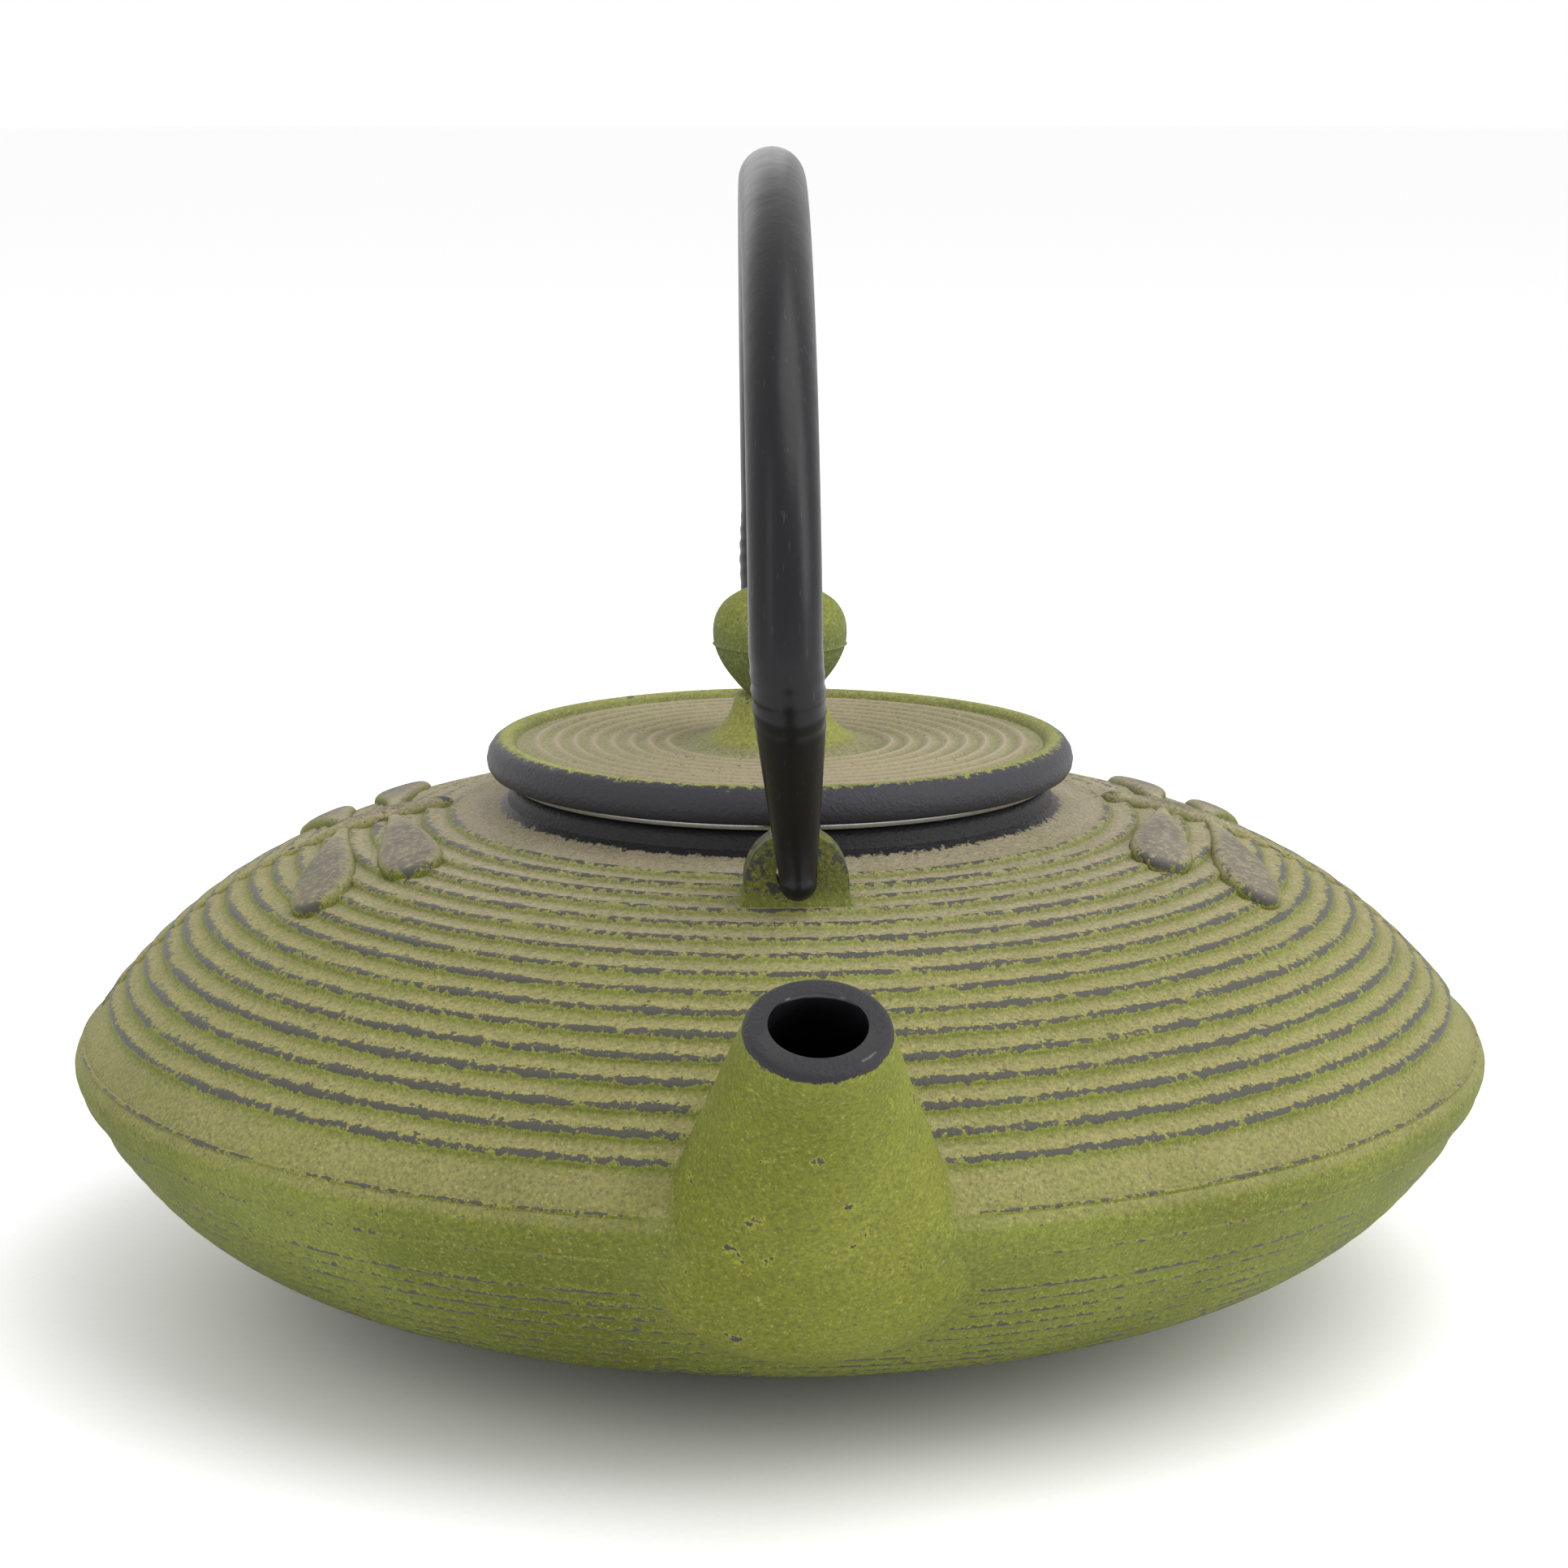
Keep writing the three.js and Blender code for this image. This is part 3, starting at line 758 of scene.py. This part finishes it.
class TEAPOT_OT_bail(bpy.types.Operator):
    """Bail handle: a round bar bent to an arch, tapered to hooks that turn in through the ears"""
    bl_idname = "teapot.bail"
    bl_label = "Bail handle"

    def execute(self, context):
        line = bail_line()
        stations = []
        for i, point in enumerate(line):
            ahead = (line[min(i + 1, len(line) - 1)] - line[max(i - 1, 0)]).normalized()
            up = Vector((0, -ahead.y, ahead.x))
            radius = bar_radius(point.y)
            risen = min((point.y - PIVOT_Z) / (ARCH_CENTRE - PIVOT_Z), 1)
            aside = point.x * BAIL_TWIST * max(risen, 0) - (point.y - PIVOT_Z) * BAIL_LEAN
            stations.append(((aside, point.x, point.y), (1, 0, 0), up, radius, radius))
        bar = lofted("bail_bar", stations, 32)
        for side in (-1, 1):
            fresh()
            bpy.ops.mesh.primitive_uv_sphere_add(
                segments=32, ring_count=16, radius=2.2 * MM,
                location=(0, side * BAR_END_Y * MM, (PIVOT_Z - 0.35) * MM))
            tip = bpy.context.object
            bpy.ops.object.transform_apply(location=True, rotation=True, scale=True)
            combine(bar, tip, "UNION")
            pin = make_pin("hook_pin", 1.9, (0, side * 43.4, PIVOT_Z), (0, side * BAR_END_Y, PIVOT_Z))
            combine(bar, pin, "UNION")
        mark_turned_wear(bar, [])
        shade(bar, 50)
        hand_over(bar, "handle", ["bail_handle"], [blackened_bar(context)])
        return {"FINISHED"}


# ---------- the strainer ----------

def strainer_rim_outline():
    return [(30.1, 54.0), (30.6, 54.0), (30.6, 65.6), (30.85, 65.92), (31.3, 65.98), (33.9, 65.9),
            (34.35, 65.93), (34.42, 66.02), (34.42, 66.52), (34.35, 66.6), (33.9, 66.62),
            (31.0, 66.5), (30.45, 66.3), (30.15, 65.9)]


def woven_wall(wire):
    """Wires up and round the strainer's wall, drawn coarser than the real 0.5 mm mesh to show."""
    around, rows, low, high, radius = 132, 24, 30.9, 57.9, 29.55
    fresh()
    bpy.ops.mesh.primitive_cylinder_add(vertices=around, radius=radius * MM, depth=(high - low) * MM,
                                        end_fill_type="NOTHING", location=(0, 0, (low + high) / 2 * MM))
    bpy.ops.object.transform_apply(location=True, rotation=True, scale=True)
    bpy.ops.object.mode_set(mode="EDIT")
    for z in np.linspace(low, high, rows + 1)[1:-1]:
        bpy.ops.mesh.select_all(action="SELECT")
        bpy.ops.mesh.bisect(plane_co=(0, 0, z * MM), plane_no=(0, 0, 1))
    piece = finish_piece("strainer_wire_wall")
    apply_modifier(piece, "WIREFRAME", thickness=wire, use_even_offset=False, use_boundary=True)
    return piece


def woven_base(wire):
    """A disc of crossed wires that closes the strainer's bottom."""
    count, radius = 44, 29.6
    fresh()
    bpy.ops.mesh.primitive_grid_add(x_subdivisions=count, y_subdivisions=count, size=2 * radius * MM,
                                    location=(0, 0, 30.25 * MM))
    bpy.ops.object.transform_apply(location=True, rotation=True, scale=True)
    mesh = bpy.context.object.data
    bpy.ops.object.mode_set(mode="EDIT")
    bpy.ops.mesh.select_mode(type="VERT")
    select_vertices(mesh, [v.index for v in mesh.vertices if math.hypot(v.co.x, v.co.y) > radius * MM])
    bpy.ops.mesh.delete(type="VERT")
    piece = finish_piece("strainer_wire_base")
    apply_modifier(piece, "WIREFRAME", thickness=wire, use_even_offset=False, use_boundary=True)
    return piece


def crimp_ring_outline():
    return [(26.7, 29.25), (30.3, 29.2), (30.6, 29.5), (30.6, 33.4), (30.35, 33.65), (30.1, 33.4),
            (30.1, 29.95), (29.8, 29.75), (26.9, 29.75), (26.5, 29.5)]


class TEAPOT_OT_strainer(bpy.types.Operator):
    """Tea strainer: pressed rim, woven wire wall and base, and the ring that crimps them"""
    bl_idname = "teapot.strainer"
    bl_label = "Strainer"

    def execute(self, context):
        wire = context.scene.teapot_sizes.wire
        steel = pressed_stainless(context)
        mesh_steel = woven_stainless(context)
        rim = turned("strainer_pressed_rim", strainer_rim_outline(), 128)
        ring = turned("strainer_crimp_ring", crimp_ring_outline(), 128)
        for piece, node in ((rim, "strainer_rim"), (ring, "strainer_base_ring")):
            shade(piece)
            hand_over(piece, "strainer", [node], [steel])
        for piece, node in ((woven_wall(wire), "strainer_mesh_wall"),
                            (woven_base(wire), "strainer_mesh_base")):
            shade(piece, 60)
            hand_over(piece, "strainer", [node], [mesh_steel])
        return {"FINISHED"}


# ---------- materials ----------

def add(tree, kind, inputs=(), **settings):
    """Adds a shader node with its settings; an input is given a value or another node's socket."""
    node = tree.nodes.new("ShaderNode" + kind)
    for name, value in settings.items():
        setattr(node, name, value)
    for key, value in dict(inputs).items():
        if isinstance(value, bpy.types.NodeSocket):
            tree.links.new(value, node.inputs[key])
        else:
            node.inputs[key].default_value = value
    return node


def new_material(name):
    material = bpy.data.materials.new(name)
    material.use_nodes = True
    material.node_tree.nodes.clear()
    return material, material.node_tree


def close_material(tree, shader):
    add(tree, "OutputMaterial", {"Surface": shader.outputs["BSDF"]})


# sockets of a Mix node that mixes colours
FACTOR, COLOUR_A, COLOUR_B, COLOUR_OUT = 0, 6, 7, 2


def coats(tree, base, *layers):
    """Lays colours over a base one after the other, each as far as its mask says."""
    for mask, colour in layers:
        base = add(tree, "Mix", {FACTOR: mask, COLOUR_A: base, COLOUR_B: colour},
                   data_type="RGBA").outputs[COLOUR_OUT]
    return base


def weighted(tree, *terms):
    """The sum of some values, each times its weight."""
    total = 0.0
    for value, weight in terms:
        total = add(tree, "Math", {0: value, 1: weight, 2: total}, operation="MULTIPLY_ADD").outputs[0]
    return total


# (cycles in a metre, detail, roughness): 1 mm crumbs of paint, 0.5 mm sand, specks a little finer,
# 8 mm blotches, 3 mm chips and 40 mm clouds.
PATINA_NOISES = [(1050.0, 4.0, 0.72), (1900.0, 3.0, 0.65), (2300.0, 2.0, 0.6),
                 (125.0, 5.0, 0.62), (330.0, 4.0, 0.6), (26.0, 3.0, 0.5)]


def iron_patina(name, colours, zones):
    """Sand-cast iron under a rubbed green patina. zones says where the taupe, the yellower green
    and the bare black iron lie, and how easily edges and ring crests rub bare."""
    material, tree = new_material(name)
    place = add(tree, "TexCoord").outputs["Object"]
    crumb, sand, speck, blotch, chip, cloud = [
        add(tree, "TexNoise", {"Vector": place, "Scale": scale, "Detail": detail,
                               "Roughness": rough}).outputs["Fac"]
        for scale, detail, rough in PATINA_NOISES]
    lee, crest, raised, edge, dark = [
        add(tree, "Attribute", attribute_name=mark).outputs["Fac"]
        for mark in ("lee", "crest", "raised", "edge", "dark")]
    up = add(tree, "SeparateXYZ", {0: add(tree, "NewGeometry").outputs["Normal"]}).outputs["Z"]
    fresh_green = zones["green_mask"](tree, place)

    # Wear is the crest or edge value plus a ragged noise, cut at a threshold.
    ragged = weighted(tree, (edge, zones["edge_wear"]), (crest, zones["crest_wear"]), (crumb, 3.0),
                      (blotch, 1.6))
    cluster = weighted(tree, (chip, 1.0), (blotch, 0.4))
    iron = weighted(tree, (zones["bare_mask"](tree, place), 1.0), (crumb, 1.7))
    masks = {}
    for mark, value, low, high, least, most in (
            ("dust", up, zones["dust_from"], zones["dust_to"], 0.0, zones["dust_most"]),
            ("uneven", blotch, 0.32, 0.66, 0.72, 1.15),
            ("cloudy", cloud, 0.35, 0.65, 0.0, 1.0),
            ("gritty", sand, 0.3, 0.7, 0.72, 1.26),
            ("fleck", speck, 0.6, 0.74, 0.0, 0.4),
            ("pit", speck, 0.42, 0.3, 0.0, 0.5),
            ("worn", ragged, 3.0, 3.12, 0.0, 0.92),
            ("halo", ragged, 2.76, 2.98, 0.0, 0.4),
            ("chipped", cluster, 0.875, 0.9, 0.0, 1.0),
            ("yellow", cluster, 0.85, 0.87, 0.0, 0.7),
            ("wing", crumb, 0.4, 0.52, 0.25, zones["raised_grey"]),
            # painted shade on the ear faces, mottled black by the sand noise
            ("ear_shade_mottle", sand, 0.4, 0.56, 0.3, 1.0),
            ("bare", iron, 1.25, 1.4, 0.0, 1.0)):
        masks[mark] = add(tree, "MapRange", {"Value": value, "From Min": low, "From Max": high,
                                             "To Min": least, "To Max": most}).outputs["Result"]
    for mark, part in (("chipped", fresh_green), ("yellow", fresh_green), ("wing", raised),
                       ("ear_shade_mottle", dark)):
        masks[mark] = add(tree, "Math", {0: masks[mark], 1: part},
                          operation="MULTIPLY").outputs[0]
    settled = add(tree, "Math", {0: masks["dust"], 1: masks["uneven"]}, operation="MULTIPLY",
                  use_clamp=True).outputs[0]
    open_to_dust = add(tree, "Math", {0: fresh_green, 1: -0.96, 2: 1.0},
                       operation="MULTIPLY_ADD").outputs[0]
    open_to_dust = add(tree, "Math", {0: lee, 1: -0.8, 2: open_to_dust}, operation="MULTIPLY_ADD",
                       use_clamp=True).outputs[0]
    settled = add(tree, "Math", {0: settled, 1: open_to_dust}, operation="MULTIPLY").outputs[0]
    tan = add(tree, "Math", {0: crest, 1: zones["crest_tan"]}, operation="MULTIPLY").outputs[0]

    green = coats(tree, colours["patina"], (fresh_green, colours["spout"]))
    pale, deep = [
        add(tree, "HueSaturation", {"Color": green, "Value": value, "Saturation": strength}).outputs[0]
        for value, strength in ((1.22, 0.95), (0.74, 1.05))]
    taupe = coats(tree, colours["dust"],
                  (along_axis(tree, place, "Z", 54, 61), colours["collar_dust"]))
    base = coats(tree, deep, (masks["cloudy"], pale), (settled, taupe))
    base = add(tree, "HueSaturation", {"Color": base, "Value": masks["gritty"]}).outputs[0]
    wing_colour = coats(tree, colours["worn"], (blotch, colours["wing_grey"]))
    base = coats(
        tree, base, (masks["fleck"], colours["fleck"]), (masks["pit"], colours["worn"]),
        (masks["yellow"], zones["halo"]), (masks["chipped"], colours["worn"]),
        (tan, colours["tan"]), (masks["halo"], zones["halo"]),
        (masks["worn"], colours["worn"]), (masks["wing"], wing_colour),
        # then the painted shade on the ear faces in bare black, and the bare iron itself
        (masks["ear_shade_mottle"], colours["bare"]), (masks["bare"], colours["bare"]))

    worn_any = add(tree, "Math", {0: masks["worn"], 1: masks["bare"]}, operation="MAXIMUM").outputs[0]
    rough = add(tree, "MapRange", {"Value": worn_any, "To Min": 0.72, "To Max": 0.46}).outputs["Result"]
    grain = weighted(tree, (sand, 1.0), (chip, 0.5))
    bump = add(tree, "Bump", {"Height": grain, "Strength": 0.8, "Distance": 0.0003})
    shader = add(tree, "BsdfPrincipled", {"Base Color": base, "Roughness": rough, "IOR": 1.5,
                                          "Specular IOR Level": 0.25, "Normal": bump.outputs["Normal"]})
    close_material(tree, shader)
    return material


def palette(context):
    group = context.scene.teapot_colours
    return {name: tuple(getattr(group, name)) for name in TeapotColours.__annotations__}


def along_axis(tree, place, axis, low, high):
    """0 below one height or depth and 1 above the other, in millimetres."""
    part = add(tree, "SeparateXYZ", {0: place}).outputs[axis]
    return add(tree, "MapRange", {"Value": part, "From Min": low * MM,
                                  "From Max": high * MM}).outputs["Result"]


def patinated_cast_iron(context):
    """Sand-cast iron with a rubbed olive patina: matt, gritty, taupe where dust settles."""
    def spout_zone(tree, place):
        return add(tree, "Attribute", attribute_name="fresh").outputs["Fac"]

    def collar_zone(tree, place):
        above = along_axis(tree, place, "Z", 62.2, 63.4)
        flat = add(tree, "Mapping", {"Vector": place, "Scale": (1, 1, 0)}).outputs[0]
        radius = add(tree, "VectorMath", {0: flat}, operation="LENGTH").outputs["Value"]
        near = add(tree, "MapRange", {"Value": radius, "From Min": 38 * MM, "From Max": 35.4 * MM})
        collar = add(tree, "Math", {0: above, 1: near.outputs["Result"]},
                     operation="MULTIPLY").outputs[0]
        height = add(tree, "VectorMath", {0: place, 1: (0, -0.392, 0.92)}, operation="DOT_PRODUCT")
        mouth = add(tree, "MapRange", {"Value": height.outputs["Value"], "From Min": 92.2 * MM,
                                       "From Max": 93.0 * MM}).outputs["Result"]
        front = along_axis(tree, place, "Y", -84, -88)
        mouth = add(tree, "Math", {0: mouth, 1: front}, operation="MULTIPLY").outputs[0]
        return add(tree, "Math", {0: collar, 1: mouth}, operation="MAXIMUM").outputs[0]

    colours = palette(context)
    return iron_patina("patinated_sand_cast_iron", colours, {
        "dust_from": 0.15, "dust_to": 0.96, "dust_most": 1.0, "green_mask": spout_zone,
        "bare_mask": collar_zone, "crest_tan": 0.0, "edge_wear": 2.0, "crest_wear": 0.76,
        "raised_grey": 0.85, "halo": linear("#95942f")})


def lid_cast_iron(context):
    """The same casting on the lid: taupe plate, lime pedestal and a black rim rubbed green."""
    def pedestal_zone(tree, place):
        return along_axis(tree, place, "Z", 70.9, 71.6)

    def rim_zone(tree, place):
        flat = add(tree, "Mapping", {"Vector": place, "Scale": (1, 1, 0)}).outputs[0]
        radius = add(tree, "VectorMath", {0: flat}, operation="LENGTH").outputs["Value"]
        rim = add(tree, "MapRange", {"Value": radius, "From Min": 34.6 * MM, "From Max": 36.9 * MM})
        underside = along_axis(tree, place, "Z", 66.9, 66.5)
        return add(tree, "Math", {0: rim.outputs["Result"], 1: underside},
                   operation="MAXIMUM").outputs[0]

    colours = palette(context)
    colours["dust"] = linear("#9b8f7a")
    colours["tan"] = linear("#9d8f7c")
    colours["spout"] = linear("#85883e")
    colours["bare"] = linear("#2f2e33")
    colours["collar_dust"] = colours["dust"]
    return iron_patina("patinated_lid_cast_iron", colours, {
        "dust_from": 0.55, "dust_to": 1.0, "dust_most": 0.5, "green_mask": pedestal_zone,
        "bare_mask": rim_zone, "crest_tan": 0.95, "edge_wear": 0.9, "crest_wear": 0.1,
        "raised_grey": 0.0, "halo": linear("#9a9a58")})


def knob_cast_iron(context):
    """The knob's casting: darker green, chipped to iron where fingers hold it."""
    def upper(tree, place):
        return along_axis(tree, place, "Z", 83, 89)

    def nowhere(tree, place):
        return along_axis(tree, place, "Z", 200, 201)

    colours = palette(context)
    colours["patina"] = linear("#5f6836")
    return iron_patina("patinated_knob_cast_iron", colours, {
        "dust_from": 0.75, "dust_to": 1.0, "dust_most": 0.5, "green_mask": upper,
        "bare_mask": nowhere, "crest_tan": 0.0, "edge_wear": 2.0, "crest_wear": 0.5, "raised_grey": 0.0,
        "halo": linear("#a3a455")})


def blackened_bar(context):
    """Blackened iron bar, waxed: satin, with fine drawn scratches and slight hammer waviness."""
    colours = palette(context)
    material, tree = new_material("blackened_iron_bar")
    place = add(tree, "TexCoord").outputs["Object"]
    wave = add(tree, "TexNoise", {"Vector": place, "Scale": 240.0, "Detail": 3.0})
    stretched = add(tree, "Mapping", {"Vector": place, "Scale": (2600, 900, 300)}).outputs[0]
    scratch = add(tree, "TexNoise", {"Vector": stretched, "Scale": 1.0, "Detail": 2.0})
    nick = add(tree, "MapRange", {"Value": scratch.outputs["Fac"], "From Min": 0.66, "From Max": 0.74,
                                  "To Max": 0.12}).outputs["Result"]
    base = coats(tree, colours["handle"], (nick, linear("#6d6b6e")))
    rough = add(tree, "MapRange", {"Value": wave.outputs["Fac"], "To Min": 0.26, "To Max": 0.38})
    bump = add(tree, "Bump", {"Height": wave.outputs["Fac"], "Strength": 0.35, "Distance": 0.0003})
    shader = add(tree, "BsdfPrincipled", {"Base Color": base, "Roughness": rough.outputs["Result"],
                                          "IOR": 1.5, "Specular IOR Level": 0.28,
                                          "Normal": bump.outputs["Normal"]})
    close_material(tree, shader)
    return material


def vitreous_enamel(context):
    """Fired black enamel: glassy, with a faint orange-peel ripple."""
    colours = palette(context)
    material, tree = new_material("fired_black_enamel")
    place = add(tree, "TexCoord").outputs["Object"]
    peel = add(tree, "TexNoise", {"Vector": place, "Scale": 420.0, "Detail": 2.0})
    tint = coats(tree, colours["enamel"], (peel.outputs["Fac"], linear("#17171a")))
    bump = add(tree, "Bump", {"Height": peel.outputs["Fac"], "Strength": 0.2, "Distance": 0.0002})
    shader = add(tree, "BsdfPrincipled", {"Base Color": tint, "Roughness": 0.12, "IOR": 1.54,
                                          "Normal": bump.outputs["Normal"]})
    close_material(tree, shader)
    return material


def steel_finish(context, name, stretch, low_rough, high_rough):
    """Stainless steel whose fine lines run across the given stretch, per metre."""
    colours = palette(context)
    material, tree = new_material(name)
    place = add(tree, "TexCoord").outputs["Object"]
    lines = add(tree, "Mapping", {"Vector": place, "Scale": stretch}).outputs[0]
    brush = add(tree, "TexNoise", {"Vector": lines, "Scale": 1.0, "Detail": 3.0})
    tint = coats(tree, colours["steel"], (brush.outputs["Fac"], linear("#8f9194")))
    rough = add(tree, "MapRange", {"Value": brush.outputs["Fac"], "To Min": low_rough,
                                   "To Max": high_rough}).outputs["Result"]
    bump = add(tree, "Bump", {"Height": brush.outputs["Fac"], "Strength": 0.15, "Distance": 0.0001})
    shader = add(tree, "BsdfPrincipled", {"Base Color": tint, "Metallic": 1.0, "Roughness": rough,
                                          "Normal": bump.outputs["Normal"]})
    close_material(tree, shader)
    return material


def turned_stainless(context):
    """Turned stainless: bright, with close rings of tool marks."""
    return steel_finish(context, "turned_stainless_steel", (300, 300, 6000), 0.22, 0.38)


def pressed_stainless(context):
    """Pressed stainless sheet: smooth and bright, faintly drawn up its wall."""
    return steel_finish(context, "pressed_stainless_steel", (2500, 2500, 250), 0.18, 0.32)


def woven_stainless(context):
    """Woven stainless wire: each wire catches its own small highlight."""
    return steel_finish(context, "woven_stainless_wire", (1800, 1800, 1800), 0.25, 0.4)


def matt_card(context):
    """Matt white card: even, with a barely visible tooth."""
    colours = palette(context)
    material, tree = new_material("matt_white_card")
    place = add(tree, "TexCoord").outputs["Object"]
    tooth = add(tree, "TexNoise", {"Vector": place, "Scale": 900.0, "Detail": 2.0})
    tint = coats(tree, colours["floor"], (tooth.outputs["Fac"], linear("#ffffff")))
    shader = add(tree, "BsdfPrincipled", {"Base Color": tint, "Roughness": 0.85})
    close_material(tree, shader)
    return material


# ---------- the stage ----------

# (name, place in metres, aim point, width and depth in metres, power in watts)
LIGHTS = [
    ("overhead_softbox", (0.35, -0.25, 0.95), (0, 0, 0.05), (0.9, 0.8), 5.0),
    ("right_softbox", (0.85, -0.35, 0.45), (0, 0, 0.06), (0.5, 0.7), 2.4),
    ("left_strip", (-0.62, -0.55, 0.3), (0, 0, 0.09), (0.12, 0.8), 0.6),
    ("right_strip", (0.7, -0.4, 0.3), (0, 0, 0.09), (0.08, 0.8), 0.6),
    ("rear_fill", (-0.2, 1.0, 0.5), (0, 0, 0.06), (0.8, 0.5), 0.8),
]
FLOOR_RADIUS, FLOOR_INSET = 6.0, 4.5  # metres
CAMERA_PLACE = Vector((-0.0195, -0.4946, 0.1602))
CAMERA_PITCH = 10.89  # degrees below level
CAMERA_LENS, SENSOR_WIDTH = 90.5, 36.0  # millimetres
CAMERA_SHIFT = 0.0026


class TEAPOT_OT_stage(bpy.types.Operator):
    """Flat pale floor, soft lights and the camera"""
    bl_idname = "teapot.stage"
    bl_label = "Floor, lights and camera"

    def execute(self, context):
        fresh()
        bpy.ops.mesh.primitive_circle_add(vertices=96, radius=FLOOR_RADIUS, fill_type="NGON",
                                          location=(0, 0, 0))
        bpy.ops.object.mode_set(mode="EDIT")
        bpy.ops.mesh.select_all(action="SELECT")
        bpy.ops.mesh.inset(thickness=FLOOR_INSET)
        floor = finish_piece("floor")
        floor.data.materials.append(matt_card(context))
        for name, place, aim, size, power in LIGHTS:
            light = bpy.data.lights.new(name, "AREA")
            light.shape, light.size, light.size_y, light.energy = "RECTANGLE", *size, power
            lamp = bpy.data.objects.new(name, light)
            lamp.location = place
            lamp.rotation_euler = (Vector(place) - Vector(aim)).to_track_quat("Z", "Y").to_euler()
            context.scene.collection.objects.link(lamp)
        world = bpy.data.worlds.new("soft_room")
        world.use_nodes = True
        background = world.node_tree.nodes["Background"]
        background.inputs["Color"].default_value = linear("#ffffff")
        background.inputs["Strength"].default_value = 1.0
        context.scene.world = world
        camera = bpy.data.objects.new("camera", bpy.data.cameras.new("camera"))
        camera.data.lens = CAMERA_LENS
        camera.data.sensor_width = SENSOR_WIDTH
        camera.data.clip_start = 0.01
        camera.location = CAMERA_PLACE
        heading = math.atan2(CAMERA_PLACE.x, -CAMERA_PLACE.y)
        camera.rotation_euler = (math.radians(90 - CAMERA_PITCH), 0, heading)
        camera.data.shift_x = CAMERA_SHIFT
        context.scene.collection.objects.link(camera)
        context.scene.camera = camera
        context.scene.view_settings.view_transform = "Standard"
        return {"FINISHED"}


class TEAPOT_PT_panel(bpy.types.Panel):
    """Lists the teapot's pieces and their settings"""
    bl_label = "Cast Iron Teapot"
    bl_idname = "TEAPOT_PT_panel"
    bl_space_type = "VIEW_3D"
    bl_region_type = "UI"
    bl_category = "Teapot"

    def draw(self, context):
        for group, owner in ((TeapotSizes, context.scene.teapot_sizes),
                             (TeapotColours, context.scene.teapot_colours)):
            column = self.layout.column(align=True)
            for name in group.__annotations__:
                column.prop(owner, name)
        for operator in OPERATORS:
            self.layout.operator(operator.bl_idname)


OPERATORS = (TEAPOT_OT_casting, TEAPOT_OT_lid, TEAPOT_OT_bail, TEAPOT_OT_strainer, TEAPOT_OT_stage)
CLASSES = (TeapotSizes, TeapotColours, *OPERATORS, TEAPOT_PT_panel)


def register():
    for item in CLASSES:
        bpy.utils.register_class(item)
    bpy.types.Scene.teapot_sizes = bpy.props.PointerProperty(type=TeapotSizes)
    bpy.types.Scene.teapot_colours = bpy.props.PointerProperty(type=TeapotColours)


def unregister():
    del bpy.types.Scene.teapot_colours
    del bpy.types.Scene.teapot_sizes
    for item in reversed(CLASSES):
        bpy.utils.unregister_class(item)


def main():
    register()
    bpy.ops.teapot.casting()
    bpy.ops.teapot.lid()
    bpy.ops.teapot.bail()
    bpy.ops.teapot.strainer()
    bpy.ops.teapot.stage()


if __name__ == "__main__":
    main()
